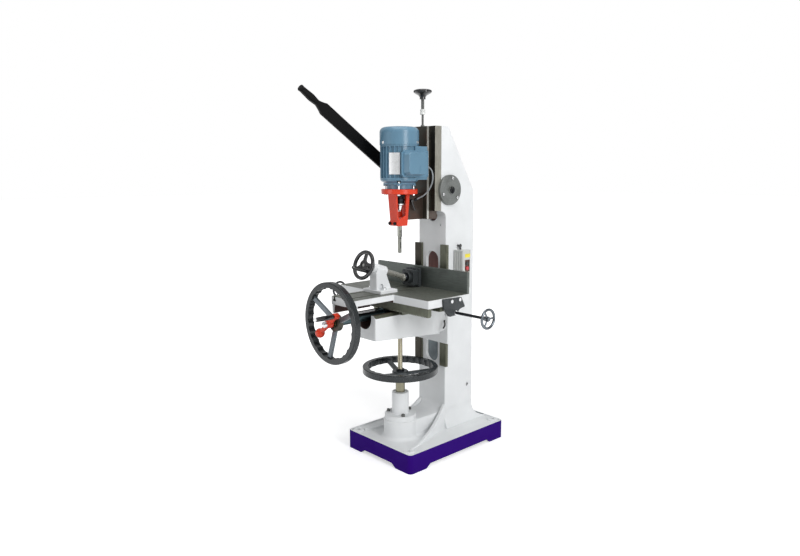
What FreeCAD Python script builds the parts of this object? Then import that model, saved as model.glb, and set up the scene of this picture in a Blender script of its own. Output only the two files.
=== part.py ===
"""Floor-standing hollow chisel mortiser, in millimetres, +X right, +Y back, +Z up.

The origin is the centre of the base on the floor. The operator stands at -Y. The pillar under
the knee and the spindle share one upright axis. All pieces are drawn at rest: head up, knee at
working height, saddle and table central, vise nearly closed.
"""
import FreeCAD, Part
import math
import os

Vector = FreeCAD.Vector

# Clearances
RUN = 0.05               # radial gap of a running fit
GAP = 0.3                # gap between faces that slide or pass

# Base
BASE_W = 460.0
BASE_D = 678.0
BASE_H = 93.0
SKIRT_WALL = 14.0
BASE_CORNER = 22.0
TRAY_RIM = 9.0
TRAY_DEPTH = 5.0
DECK = 14.0
TRAY_Z = BASE_H - TRAY_DEPTH
DECK_LOW = TRAY_Z - DECK
FLOOR_GAP_H = 19.0       # height of the gaps between the corner feet
FLOOR_GAP_SLOPE = 27.0
FRONT_GAP = 256.0        # length of the gap at the floor, front and back
SIDE_GAP = 466.0
PAD_X = 185.0
PAD_Y = 305.0
PAD_R = 27.0
PAD_RISE = 8.0
ANCHOR_R = 9.0
AXIS_Y = -187.0          # spindle and pillar axis, from the centre of the base
PILLAR_BOSS_R = 82.5
PILLAR_BOSS_TOP = 181.0
RIB_TOP = 215.0
RIB_T = 18.0
RIB_TOE = 14.0            # height of the rib's toe above the tray

# Column
COL_SEAT = TRAY_Z
COL_HALF = 92.0
COL_FRONT = 35.0
COL_BACK = 244.0
COL_TOP = 1600.0
COL_WALL = 16.0
COL_TOP_BACK = 55.0      # back edge of the top face
SLOPE_FOOT = 1287.0      # height where the back starts to lean forward
FLARE_H = 107.0
FLARE_REAR = 84.0
FLARE_SIDE = 18.0
HEAD_FACE = 1.0          # face that carries the head ways
HEAD_FACE_Z = 1197.0
HEAD_FACE_FILLET = 34.0
SLOT_HALF = 42.0
SLOT_BOTTOM = 427.0
SLOT_TOP = 994.0
ROUND_HOLE_R = 36.0
ROUND_HOLE_Z = 1180.0
COL_BOLT_R = 6.0
COL_BOLT_LEN = 42.0

# Head ways and slide
WAY_FRONT = -42.0
WAY_HALF = 92.0
HEAD_WAY_Z = 1200.0
DOVE_HALF = 50.0         # half width of the dovetail's narrow side
DOVE_ANGLE = 30.0
SLIDE_FRONT = -55.0
SLIDE_BACK = -7.0
SLIDE_Z = 1160.0
CHANNEL_HALF = 13.0
CHANNEL_Y = -36.8        # bottom of the channel in the slide's back
ARM_HALF = 22.0
ARM_TOP = 1282.0
ROD_Y = -34.0            # depth rod axis
ROD_POCKET_Y = -49.0
SLIDE_CAP = 20.0
LOCK_Y = -136.0          # axis of the head lock lever
LOCK_Z = 1249.0

# Feed pinion, rack and lever
PINION_Y = 53.0
PINION_Z = 1298.5
FEED_MODULE = 5.0
FEED_TEETH = 30
FEED_FACE = 20.0
BACKLASH = 0.5
SHAFT_R = 17.5
RACK_LOW = 1256.0
RACK_HIGH = 1424.0
LUG_LOW = 1428.0
LUG_HIGH = 1445.0
LUG_Y = -23.0
FLANGE_R = 73.0
FLANGE_T = 16.0
FLANGE_BOLT_R = 58.0
SPRING_R = 48.0
SPRING_PITCH = 6.0
SPRING_T = 1.6
SPRING_W = 8.0
LEFT_BOSS_R = 42.0
LEFT_BOSS = 18.0
LEVER_X = -165.0
LEVER_T = 14.0
LEVER_W = 60.0
LEVER_BAR = 676.0
LEVER_NECK = 704.0
LEVER_END = 813.0
LEVER_ANGLE = 33.8
LEVER_HUB_R = 36.0

# Chisel bracket, chisel and bit
BRACKET_TOP = 1306.0
BRACKET_FLANGE_T = 24.0
BRACKET_FLANGE_R = 86.0
BRACKET_LOW = 1133.0
BRACKET_HALF_TOP = 30.0
BRACKET_HALF_LOW = 28.0
BRACKET_FRONT_TOP = -236.0
BRACKET_FRONT_LOW = -225.0
BRACKET_BACK_TOP = -146.0
BRACKET_BACK_LOW = -160.0
CLAMP_FACE = -230.0      # lip that the clamp screws bear on
WINDOW_LOW = 1163.0
CLAMP_Z = 1146.0
CLAMP_X = 17.0
SHANK_R = 11.0
SHANK_LOW = 1084.0
CHISEL_LOW = 1003.0
CHISEL_SIZE = 13.0
BIT_R = 4.6
BIT_TIP = 1000.0
BIT_SHANK_R = 4.5
BIT_SHANK_TOP = 1258.0
SHAFT_END = 1262.0       # lower end of the motor shaft, inside the chuck

# Motor
STATOR_R = 83.0
FIN_R = 90.0
FIN_COUNT = 28
FIN_T = 3.0
RING_H = 8.0
STATOR_BORE = 54.0
ROTOR_R = 53.2
BELL_TOP = 1350.0
FRAME_TOP = 1509.0
BELL_NECK_R = 60.0
BELL_RING_R = 71.0
BELL_RING_T = 6.0
EAR_TOP = 27.0           # stud nut seat above the bracket's flange
EAR_R = 10.0
STUD_CIRCLE_R = 66.0
STUD_R = 4.0
STUD_ANGLES = (45, 135, 225, 315)
NUT_POCKET_R = 9.5
COWL_R = 92.0
COWL_TOP = FRAME_TOP + 82.0
COWL_T = 3.0
COWL_ROUND = 24.0
GRILLE_R = 46.0
GRILLE_HOLE_R = 4.0
MOTOR_SHAFT_R = 12.0
BEARING_R = 26.0
BEARING_W = 15.0
FAN_R = 72.0
FAN_BLADES = 7
CHUCK_R = 23.0
FIN_GAP = (-25.0, 58.0)  # part of the frame, in degrees from +X, that the terminal box covers
TERMINAL_BACK = 52.0
TERMINAL_X = 88.0        # seat of the lid
TERMINAL_Y = (-215.0, -112.0)
TERMINAL_Z = (1372.0, 1471.0)
FOOT_Y = (-168.0, -90.0)  # cast feet above and below the box
FOOT_Z = (1349.0, 1502.0)
LID_Y = (-258.0, -88.0)
LID_Z = (1360.0, 1483.0)
LID_T = 5.0
LID_CHAMFER = 14.0
LID_SCREW_IN = 7.0
COVER_X = 130.0
COVER_Y = (-244.0, -136.0)
COVER_Z = (1373.0, 1472.0)
COVER_CHAMFER = 12.0
COVER_DRAFT = 5.0
CABLE_R = 3.5
CABLE_ROUTE = [(77.0, -98.0, 1412.0), (79.0, -76.0, 1410.0), (92.0, -62.0, 1393.0),
               (97.0, -60.0, 1357.0), (90.0, -61.5, 1326.0), (76.0, -66.0, 1300.0),
               (56.0, -75.0, 1277.0), (40.0, -87.0, 1265.0), (25.0, -101.0, 1256.0)]

# Depth stop
DEPTH_ROD_R = 8.0
DEPTH_STEM_R = 5.5
DEPTH_STEM_TOP = COL_TOP + 56.0
DEPTH_COLLAR_TOP = DEPTH_STEM_TOP + 25.0
DEPTH_COLLAR_R = 12.0
KNOB_LOW = DEPTH_STEM_TOP + 71.0
KNOB_TOP = KNOB_LOW + 46.0
KNOB_R = 44.5
NUT_LOW = 1540.0
NUT_H = 14.0

# Pillar, lift wheel and screw
PILLAR_FLANGE_R = 77.5
PILLAR_FLANGE_T = 25.0
PILLAR_R = 41.5
PILLAR_TOP = 315.0
PILLAR_BOLT_R = 62.0
LIFT_NUT_R = 23.0
LIFT_NUT_TOP = 430.0
LIFT_SPIGOT_R = 17.0
LIFT_SPIGOT = 25.0
SCREW_R = 12.25
SCREW_LOW = 170.0
LIFT_WHEEL_TOP = 446.5
LIFT_WHEEL_TURN = 40.0     # first spoke, in degrees from +X

# Large handwheel casting
WHEEL_R = 185.0
RIM_RADIAL = 28.0
RIM_AXIAL = 32.0
RIM_FILLET = 4.0
RIM_LOBES = 24
RIM_LOBE_DEPTH = 5.0
SPOKE_W = 25.0
SPOKE_T = 13.0
WHEEL_HUB_R = 40.0
HUB_SET = 26.0           # hub face behind the rim's front face
HUB_LEN = 26.0

# Knee ways and knee
KNEE_WAY_IN = 66.0
KNEE_WAY_OUT = 112.0
KNEE_WAY_FRONT = 21.0
KNEE_WAY_Z0 = 418.0
KNEE_WAY_Z1 = 1032.0
KNEE_HALF = 80.0
KNEE_FRONT = -413.0
KNEE_LOW_FRONT = 620.0
KNEE_LOW_BACK = 587.0
KNEE_SIDE_TOP = 724.0
KNEE_TOP = 737.0
KNEE_TOP_HALF = 68.0
TROUGH_R = 50.0
TROUGH_Z = 716.0
KNEE_PLATE_HALF = 132.0
KNEE_PLATE_Y = 9.0
KNEE_PLATE_Z = 543.0
KNEE_KEEPER_TOP = 724.0
GUSSET_Y = -45.0          # front of the flared gusset at the beam
GUSSET_Z = 655.0          # its lower end at the plate's edge
GUSSET_TOP = 718.0
KNEE_HOLE = (119.0, 692.0)
KEEPER_T = 14.0
NUT_RIB_Y0 = -119.0
NUT_RIB_Y1 = -79.0
KNEE_BOSS_R = 32.0

# Saddle and cross feed
CROSS_Z = 722.0
SADDLE_HALF = 105.0
SADDLE_Y0 = -269.0
SADDLE_Y1 = -29.0
SADDLE_BOSS_Y1 = -209.0
SADDLE_BOSS_R = 34.0
CROSS_R = 11.0
THRUST_COLLAR_R = 14.0
CROSS_REAR = 51.0
SLEEVE_R = 19.0
WHEEL_FRONT = -615.0
TABLE_MODULE = 3.0
TABLE_PINION_TEETH = 20      # a multiple of 4, so that one tooth points straight up
TABLE_WHEEL_TURN = 23.0
TABLE_RACK_Y0 = -307.0
TABLE_RACK_Y1 = -287.0
SLEEVE_REAR = -236.0
CRANK_FACE = WHEEL_FRONT + 15.0      # back of the crank's hub, inside the wheel's dish
CRANK_HUB = 34.0
CRANK_HUB_R = 19.0
CROSS_SEAT_R = 9.0
CRANK_GRIP_X = 54.0
CRANK_GRIP_Z = 43.0
CRANK_BALL_X = -65.0
CRANK_BALL_Z = -52.0
CRANK_BALL_R = 22.0
CRANK_GRIP_LEN = 102.0
CRANK_GRIP_R = 10.5

# Table and fence
TABLE_HALF = 314.0
TABLE_Y0 = -307.0
TABLE_Y1 = -40.0
TABLE_TOP = 827.0
TABLE_T = 38.0
EXT_HALF = 87.0
EXT_Y = -535.0
EXT_T = 28.0             # slab of the extension
APRON_T = 14.0
SKIRT_LOW = 746.0        # lower edge of the left skirt
SKIRT_T = 12.0
TSLOT_X = (-62.0, 34.0)
TSLOT_W = 12.0
TSLOT_DEPTH = 22.0
TSLOT_FOOT_W = 21.0
TSLOT_FOOT_H = 9.0
TAIL_Y = -150.5          # centre line of the table's dovetail
TAIL_HALF = 83.5
TAIL_H = 22.0
TAIL_ANGLE = 30.0
FENCE_T = 14.0
FENCE_TOP = TABLE_TOP + 101.0
FENCE_Y0 = TABLE_Y1 - FENCE_T
FENCE_BOLT_X = (-240.0, -120.0, 0.0, 120.0, 240.0)

# Table stops
STOP_Y = -153.0
STOP_Z = 756.0
STOP_ROD_R = 6.5
STOP_ROD_TIP = 220.5
STOP_WHEEL_X = 528.0
STOP_WHEEL_R = 47.0
STOP_RIM_R = 6.0
STOP_HUB = 26.0
END_PLATE_T = 13.0
END_PLATE_FRONT = -223.0
END_PLATE_STEP = -219.0  # where its front edge starts to lean back
END_PLATE_HEEL = -81.0
END_PLATE_WAIST = -90.0
END_PLATE_BACK = -106.0
END_BOLTS = ((-175.0, 809.5), (-122.0, 812.0))

# Vise
VISE_X = -14.0
VISE_ANGLE = 18.0
BALL_Y = -142.0
BALL_Z = 878.6
BALL_R = 22.0
VISE_WHEEL_S = 279.7     # wheel's front face from the ball's centre, along the screw
VISE_WHEEL_R = 70.0
VISE_WHEEL_T = 15.0
VISE_BOSS_R = 24.0
VISE_BOSS_S = (137.0, 221.0)
QUILL_R = 13.0
QUILL_END = 164.0         # quill's end in the boss, from the ball's centre
VISE_SCREW_R = 7.0
VISE_SCREW_TIP = 77.0     # clear of the quill's closed end when it is drawn back
VISE_END_WALL = 8.0
VISE_COLLAR = 8.0
BRACKET_PLATE_HALF = 66.0
BRACKET_PLATE_Y = (-353.0, -248.0)
BRACKET_PLATE_T = 15.0
UPRIGHT_HALF = 27.0
VISE_BOLT_Y = -316.0
JAW_HALF = 44.0
JAW_Y = (-121.0, -73.0)
JAW_Z = (830.0, 920.0)
JAW_PLATE_T = 16.0
SOCKET_R = 30.0
VISE_GRIP_OUT = 39.7
VISE_GRIP_DOWN = 26.5
VISE_GRIP_LEN = 88.0
VISE_GRIP_R = 10.0
VISE_SPOKE_TURN = -math.degrees(math.atan2(VISE_GRIP_DOWN, VISE_GRIP_OUT))

# Switch box
BOX_W = 66.0
BOX_X = COL_HALF + BOX_W
BOX_Y0 = 90.0
BOX_Y1 = 148.0
BOX_Z0 = 815.0
BOX_Z1 = 1003.0
BUTTON_Y = 121.0
START_Z = 938.0
STOP_BUTTON_Z = 914.0
BUTTON_R = 9.5
BUTTON_OUT = 6.0
BUTTON_BACK = 10.0
PANEL_RECESS = 4.0
ELBOW_X = COL_HALF + 18.0
ELBOW_Y = 122.0
ELBOW_Z = 1022.0
ELBOW_R = 5.5
ELBOW_BEND = 14.0


# Shape helpers ---------------------------------------------------------------------------------

def box(x0, x1, y0, y1, z0, z1):
    return Part.makeBox(x1 - x0, y1 - y0, z1 - z0, Vector(x0, y0, z0))


def cylinder(start, direction, radius, length):
    return Part.makeCylinder(radius, length, Vector(*start), Vector(*direction))


def cone(start, direction, radius0, radius1, length):
    return Part.makeCone(radius0, radius1, length, Vector(*start), Vector(*direction))


def ball(centre, radius, pole=(0, 0, 1)):
    return Part.makeSphere(radius, Vector(*centre), Vector(*pole))


def to_space(plane, a, b, level):
    if plane == "yz":
        return Vector(level, a, b)
    if plane == "xz":
        return Vector(a, level, b)
    return Vector(a, b, level)


def corner_tangents(before, corner, after, radius):
    """Tangent points and middle of the arc that rounds one corner of an outline."""
    c = Vector(corner[0], corner[1], 0)
    to_a = (Vector(before[0], before[1], 0) - c).normalize()
    to_b = (Vector(after[0], after[1], 0) - c).normalize()
    half = to_a.getAngle(to_b) / 2
    along = radius / math.tan(half)
    towards = (to_a + to_b).normalize()
    middle = c + towards * (radius / math.sin(half) - radius)
    start = c + to_a * along
    end = c + to_b * along
    return (start.x, start.y), (middle.x, middle.y), (end.x, end.y)


def outline(points, plane="xy", level=0.0):
    """Closed wire. A point is (a, b), (a, b, corner radius) or (a, b, (via a, via b)) for an arc."""
    path = []
    count = len(points)
    for i, point in enumerate(points):
        extra = point[2] if len(point) > 2 else None
        if isinstance(extra, (int, float)):
            before = points[i - 1]
            after = points[(i + 1) % count]
            start, middle, end = corner_tangents(before, point, after, extra)
            path.append((start, None))
            path.append((end, middle))
        else:
            path.append(((point[0], point[1]), extra))
    edges = []
    for i, (end, via) in enumerate(path):
        start = path[i - 1][0]
        p0 = to_space(plane, start[0], start[1], level)
        p1 = to_space(plane, end[0], end[1], level)
        if p0.distanceToPoint(p1) < 1e-6:
            continue
        if via is None:
            edges.append(Part.LineSegment(p0, p1).toShape())
        else:
            edges.append(Part.Arc(p0, to_space(plane, via[0], via[1], level), p1).toShape())
    return Part.Wire(edges)


def prism(points, plane, low, high):
    """Outline in one plane, pulled along the third axis from low to high."""
    pull = to_space(plane, 0, 0, high - low)
    return Part.Face(outline(points, plane, low)).extrude(pull)


def rounded_block(x0, x1, y0, y1, z0, z1, radius):
    corners = [(x0, y0, radius), (x1, y0, radius), (x1, y1, radius), (x0, y1, radius)]
    return prism(corners, "xy", z0, z1)


def turned(points):
    """Solid of revolution about Z. Points are (radius, height) as in outline()."""
    face = Part.Face(outline(points, "xz", 0.0))
    return face.revolve(Vector(0, 0, 0), Vector(0, 0, 1), 360)


def placed(shape, origin, direction):
    """Move a shape drawn about +Z so that its axis points along direction from origin."""
    turn = FreeCAD.Rotation(Vector(0, 0, 1), Vector(*direction))
    return shape.transformed(FreeCAD.Placement(Vector(*origin), turn).toMatrix())


def mirrored_x(shape):
    return shape.mirror(Vector(0, 0, 0), Vector(1, 0, 0))


def both_sides(shape):
    return [shape, mirrored_x(shape)]


def join(shapes):
    first = shapes[0]
    return first.fuse(shapes[1:]).removeSplitter() if len(shapes) > 1 else first


def cut(shape, tools):
    return shape.cut(tools).removeSplitter()


def group(shapes):
    return Part.makeCompound(shapes)


def hex_head(start, direction, across, height):
    corner = across / math.sqrt(3)
    points = [(corner * math.cos(math.radians(60 * i)), corner * math.sin(math.radians(60 * i)))
              for i in range(6)]
    return placed(prism(points, "xy", 0, height), start, direction)


def socket_head(start, direction, radius, height):
    """Cap screw head with a hexagon socket; start is the seat, direction points outward."""
    head = cylinder((0, 0, 0), (0, 0, 1), radius, height)
    head = head.makeChamfer(0.12 * radius, [edge_at(head, height)])
    socket = hex_head((0, 0, height * 0.45), (0, 0, 1), radius, height)
    return placed(head.cut(socket), start, direction)


def edge_at(shape, height):
    """The round edge that lies wholly at one height."""
    for edge in shape.Edges:
        bound = edge.BoundBox
        if abs(bound.ZMin - height) < 1e-6 and abs(bound.ZMax - height) < 1e-6:
            return edge
    return None


# Teeth -----------------------------------------------------------------------------------------

def tooth_angle(radius, pitch_r, half_pitch):
    """Half angle of an involute tooth at one radius."""
    pressure = math.radians(20)
    base_r = pitch_r * math.cos(pressure)
    if radius <= base_r:
        return half_pitch + math.tan(pressure) - pressure
    angle = math.acos(base_r / radius)
    return half_pitch + (math.tan(pressure) - pressure) - (math.tan(angle) - angle)


def gear(module, teeth, width):
    """Spur gear about Z from z = 0, with one tooth on +X."""
    pitch_r = module * teeth / 2
    tip = pitch_r + module
    root = pitch_r - 1.25 * module
    half_pitch = math.pi / (2 * teeth) - BACKLASH / (2 * pitch_r)
    step = 2 * math.pi / teeth
    radii = [root, pitch_r, tip]
    halves = [tooth_angle(r, pitch_r, half_pitch) for r in radii]
    points = []
    for i in range(teeth):
        mid = i * step

        def at(k, side):
            angle = mid + side * halves[k]
            return radii[k] * math.cos(angle), radii[k] * math.sin(angle)

        points.append(at(0, -1))
        points.append((*at(2, -1), at(1, -1)))
        points.append(at(2, 1))
        points.append((*at(0, 1), at(1, 1)))
    return prism(points, "xy", 0, width)


def rack(module, length_low, length_high, pitch_at, back_at, tooth_at, out):
    """Rack outline as (along, across) points. Teeth point to +across when out is 1, else to -.

    One gap is centred on tooth_at, where the pinion has a tooth.
    """
    pitch = math.pi * module
    flank = math.tan(math.radians(20))
    tip = pitch_at + out * module
    root = pitch_at - out * 1.25 * module
    half_tip = pitch / 4 - BACKLASH / 4 - module * flank
    half_root = pitch / 4 - BACKLASH / 4 + 1.25 * module * flank
    count = int((length_high - length_low) // pitch) + 2
    first = math.ceil((length_low - tooth_at) / pitch + 0.5) - 0.5
    points = [(length_low, back_at), (length_low, root)]
    for i in range(count):
        centre = tooth_at + (first + i) * pitch
        if centre - half_root < length_low + 0.1 or centre + half_root > length_high - 0.1:
            continue
        points.append((centre - half_root, root))
        points.append((centre - half_tip, tip))
        points.append((centre + half_tip, tip))
        points.append((centre + half_root, root))
    points += [(length_high, root), (length_high, back_at)]
    return points


# Standing pieces -------------------------------------------------------------------------------

def base_outline(inset):
    half_w = BASE_W / 2 - inset
    half_d = BASE_D / 2 - inset
    radius = BASE_CORNER - inset * 0.7
    return [(-half_w, -half_d, radius), (half_w, -half_d, radius),
            (half_w, half_d, radius), (-half_w, half_d, radius)]


def floor_gap(length, plane, reach):
    half = length / 2
    short = half - FLOOR_GAP_SLOPE
    points = [(-half, -1), (half, -1), (short, FLOOR_GAP_H, 14), (-short, FLOOR_GAP_H, 14)]
    return prism(points, plane, -reach, reach)


def corner_rib():
    """Curved rib from the column's front corner to the front anchor pad, on the right."""
    start = Vector(COL_HALF - RIB_T / 2, COL_FRONT, 0)
    end = Vector(PAD_X - 8, -PAD_Y, 0)
    run = end - start
    length = run.Length - PAD_R
    toe = TRAY_Z + RIB_TOE
    drop = RIB_TOP - toe
    points = [(0, TRAY_Z - 1), (length, TRAY_Z - 1), (length, toe - 6),
              (0, RIB_TOP, (length * 0.34, toe + drop * 0.30))]
    rib = prism(points, "xz", -RIB_T / 2, RIB_T / 2)
    curved = [e for e in rib.Edges if e.BoundBox.ZLength > 60 and e.BoundBox.XLength > 60]
    rib = rib.makeFillet(4, curved)
    rib.rotate(Vector(0, 0, 0), Vector(0, 0, 1), math.degrees(math.atan2(run.y, run.x)))
    rib.translate(start)
    return rib.cut(box(0, BASE_W, COL_FRONT, BASE_D, 0, COL_TOP))


def base_casting():
    shell = prism(base_outline(0), "xy", 0, BASE_H)
    shell = shell.makeFillet(2.5, [e for e in shell.Edges if e.BoundBox.ZMin > BASE_H - 1e-6])
    hollow = prism(base_outline(SKIRT_WALL), "xy", -1, DECK_LOW)
    tray = prism(base_outline(TRAY_RIM), "xy", TRAY_Z, BASE_H + 1)
    shell = shell.cut([hollow, tray])
    shell = shell.cut([floor_gap(FRONT_GAP, "xz", BASE_D), floor_gap(SIDE_GAP, "yz", BASE_W)])
    r = PILLAR_BOSS_R
    flare = 20.0
    boss = turned([(0, DECK_LOW), (r + flare, DECK_LOW), (r + flare, TRAY_Z),
                   (r, TRAY_Z + flare, (r + 0.29 * flare, TRAY_Z + 0.29 * flare)),
                   (r, PILLAR_BOSS_TOP - 3), (r - 3, PILLAR_BOSS_TOP), (0, PILLAR_BOSS_TOP)])
    boss.translate(Vector(0, AXIS_Y, 0))
    pieces = [boss] + both_sides(corner_rib())
    holes = [cylinder((0, AXIS_Y, 0), (0, 0, 1), SCREW_R + 4, PILLAR_BOSS_TOP + 1)]
    for x in (-PAD_X, PAD_X):
        for y in (-PAD_Y, PAD_Y):
            pad = cylinder((x, y, 0), (0, 0, 1), PAD_R, TRAY_Z + PAD_RISE)
            pieces.append(pad.makeFillet(3, [edge_at(pad, TRAY_Z + PAD_RISE)]))
            holes.append(cylinder((x, y, -1), (0, 0, 1), ANCHOR_R, BASE_H + 20))
    for x, y in column_bolt_places():
        holes.append(cylinder((x, y, 0), (0, 0, 1), COL_BOLT_R, BASE_H))
    for place in pillar_bolt_places():
        holes.append(cylinder((*place, PILLAR_BOSS_TOP - 30), (0, 0, 1), 5, 31))
    return cut(join([shell] + pieces), holes)


def column_bolt_places():
    x = COL_HALF - COL_WALL / 2
    return [(sx * x, y) for sx in (-1, 1) for y in (COL_FRONT + 60, COL_BACK - 40)]


def pillar_bolt_places():
    return [(PILLAR_BOLT_R * math.cos(math.radians(a)),
             AXIS_Y + PILLAR_BOLT_R * math.sin(math.radians(a))) for a in (90, 210, 330)]


def slope_offset(inset):
    """Ends of the leaning back, moved inward: (top y, top z) and (foot y, foot z)."""
    rise = COL_TOP - SLOPE_FOOT
    run = COL_BACK - COL_TOP_BACK
    size = math.hypot(rise, run)
    top_z = COL_TOP - inset
    foot_y = COL_BACK - inset
    slide = inset * size / rise
    top_y = COL_TOP_BACK - slide + (COL_TOP - top_z) * run / rise
    foot_z = SLOPE_FOOT - (slide - inset) * rise / run
    return (top_y, top_z), (foot_y, foot_z)


def column_side(inset, floor_z):
    top, foot = slope_offset(inset)
    front = COL_FRONT + inset
    pad = HEAD_FACE + inset
    points = [(front, floor_z), (front, HEAD_FACE_Z + inset, HEAD_FACE_FILLET), (pad, HEAD_FACE_Z + inset),
              (pad, COL_TOP - inset), top, (foot[0], foot[1], 50)]
    return points


def column_body():
    side = column_side(0, COL_SEAT)
    rear = COL_BACK + FLARE_REAR
    flare_top = COL_SEAT + FLARE_H
    side += [(COL_BACK, flare_top),
             (rear, COL_SEAT + 5, (COL_BACK + 0.22 * FLARE_REAR, COL_SEAT + 0.36 * FLARE_H)),
             (rear, COL_SEAT)]
    w = COL_HALF
    foot = COL_HALF + FLARE_SIDE
    via = (COL_HALF + 0.22 * FLARE_SIDE, COL_SEAT + 0.36 * FLARE_H)
    across = [(-foot, COL_SEAT), (foot, COL_SEAT), (foot, COL_SEAT + 5), (w, flare_top, via),
              (w, COL_TOP), (-w, COL_TOP), (-w, flare_top),
              (-foot, COL_SEAT + 5, (-via[0], via[1]))]
    body = prism(side, "yz", -foot, foot).common(prism(across, "xz", HEAD_FACE, rear))
    rounded = [e for e in body.Edges if abs(abs(e.BoundBox.XMin) - COL_HALF) < 1e-3
               and e.BoundBox.XLength < 1e-3 and e.BoundBox.YMin > COL_TOP_BACK - 1
               and e.BoundBox.ZMin > flare_top - 1]
    return body.makeFillet(9, rounded)


def column():
    body = column_body()
    inner = COL_HALF - COL_WALL
    left_boss = cylinder((-COL_HALF - LEFT_BOSS, PINION_Y, PINION_Z), (1, 0, 0),
                         LEFT_BOSS_R, LEFT_BOSS + COL_WALL)
    lug = box(-CHANNEL_HALF + 1.5, CHANNEL_HALF - 1.5, LUG_Y, HEAD_FACE + 5, LUG_LOW, LUG_HIGH)
    cavity = prism(column_side(COL_WALL, COL_SEAT - 1) + [(COL_BACK - COL_WALL, COL_SEAT - 1)],
                   "yz", -inner, inner)
    slot = prism([(-SLOT_HALF, SLOT_BOTTOM, SLOT_HALF - 1), (SLOT_HALF, SLOT_BOTTOM, SLOT_HALF - 1),
                  (SLOT_HALF, SLOT_TOP, SLOT_HALF - 0.5), (-SLOT_HALF, SLOT_TOP, SLOT_HALF - 0.5)],
                 "xz", COL_FRONT - 1, COL_FRONT + COL_WALL + 1)
    round_hole = cylinder((0, HEAD_FACE - 1, ROUND_HOLE_Z), (0, 1, 0), ROUND_HOLE_R,
                          COL_FRONT + COL_WALL)
    pinion_tip = FEED_MODULE * (FEED_TEETH / 2 + 1)
    window = box(-CHANNEL_HALF - 2, CHANNEL_HALF + 2, HEAD_FACE - 1, HEAD_FACE + COL_WALL + 1,
                 PINION_Z - pinion_tip - 4, PINION_Z + pinion_tip + 4)
    shaft_bore = cylinder((-COL_HALF - LEFT_BOSS - 1, PINION_Y, PINION_Z), (1, 0, 0),
                          SHAFT_R + RUN, 2 * COL_HALF + LEFT_BOSS + 2)
    small_hole = cylinder((56, COL_FRONT - 1, 1126), (0, 1, 0), 4, 13)
    cable_slot = prism([(196, 276, 8), (214, 276, 8), (214, 294, 8), (196, 294, 8)],
                       "yz", inner - 1, COL_HALF + 1)
    bolts = [cylinder((x, y, COL_SEAT - 1), (0, 0, 1), COL_BOLT_R, COL_BOLT_LEN + 1 - DECK)
             for x, y in column_bolt_places()]
    shell = body.cut(cavity)
    shell = shell.fuse([left_boss, lug])
    flange_screws = [cylinder((COL_HALF - 12, *place), (1, 0, 0), 4, 13)
                     for place in flange_bolt_places()]
    elbow = cylinder((inner - 1, ELBOW_Y, ELBOW_Z), (1, 0, 0), ELBOW_R, COL_WALL + 2)
    return cut(shell, [slot, round_hole, window, shaft_bore, small_hole, cable_slot, elbow]
               + bolts + flange_screws)


def head_ways():
    """Female dovetail plate on the column's face, open in the middle for the pinion and the lug."""
    back = SLIDE_BACK + GAP
    tan = math.tan(math.radians(DOVE_ANGLE))
    near = DOVE_HALF + GAP / math.cos(math.radians(DOVE_ANGLE))
    far = near + (back - WAY_FRONT) * tan
    open_half = CHANNEL_HALF + 2
    right = [(near, WAY_FRONT), (WAY_HALF, WAY_FRONT), (WAY_HALF, HEAD_FACE), (open_half, HEAD_FACE),
             (open_half, back), (far, back)]
    bars = both_sides(prism(right, "xy", HEAD_WAY_Z, COL_TOP))
    bridge_z = LUG_HIGH + 30
    bars.append(box(-open_half, open_half, back, HEAD_FACE, bridge_z, COL_TOP))
    screws = [cylinder((WAY_HALF - 12, *place), (1, 0, 0), 4, 13) for place in flange_bolt_places()]
    return cut(join(bars), screws)


def knee_ways():
    bar = box(KNEE_WAY_IN, KNEE_WAY_OUT, KNEE_WAY_FRONT, COL_FRONT, KNEE_WAY_Z0, KNEE_WAY_Z1)
    outer = [e for e in bar.Edges if e.BoundBox.ZLength > 60 and e.BoundBox.YMin < COL_FRONT - 1]
    bar = bar.makeChamfer(2, outer)
    return group(both_sides(bar))


def flange_bolt_places():
    return [(PINION_Y + FLANGE_BOLT_R * math.cos(math.radians(a)),
             PINION_Z + FLANGE_BOLT_R * math.sin(math.radians(a))) for a in (80, 200, 320)]


def pinion_flange():
    disc = cylinder((COL_HALF, PINION_Y, PINION_Z), (1, 0, 0), FLANGE_R, FLANGE_T)
    rim = [e for e in disc.Edges if e.BoundBox.XMin > COL_HALF + FLANGE_T - 1e-6]
    disc = disc.makeFillet(2.5, rim)
    pocket = cylinder((COL_HALF - 1, PINION_Y, PINION_Z), (1, 0, 0), SPRING_R + 1.5, FLANGE_T - 4)
    bore = cylinder((COL_HALF - 1, PINION_Y, PINION_Z), (1, 0, 0), SHAFT_R + RUN, FLANGE_T + 2)
    holes = [cylinder((COL_HALF - 1, *place), (1, 0, 0), 4, FLANGE_T + 2)
             for place in flange_bolt_places()]
    return cut(disc, [pocket, bore] + holes)


def return_spring():
    """Flat clock spring, wound from half rings whose centres alternate."""
    half_turns = 2 * int((SPRING_R - SHAFT_R - 4) / SPRING_PITCH)
    shift = SPRING_PITCH / 4
    outer = []
    inner = []
    for k in range(half_turns):
        radius = SHAFT_R + 4 + k * SPRING_PITCH / 2
        side = 1 if k % 2 == 0 else -1
        centre = -shift * side
        start = (centre + side * radius, 0)
        end = (centre - side * radius, 0)
        outer.append((start, (centre, side * radius), end))
        inner.append(((centre + side * (radius - SPRING_T), 0), (centre, side * (radius - SPRING_T)),
                      (centre - side * (radius - SPRING_T), 0)))
    points = [outer[0][0]]
    for _, via, end in outer:
        points.append((*end, via))
    points.append(inner[-1][2])
    for start, via, _ in reversed(inner):
        points.append((*start, via))
    coil = prism(points, "xy", 0, SPRING_W)
    return placed(coil, (COL_HALF + 1.5, PINION_Y, PINION_Z), (1, 0, 0))


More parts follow.
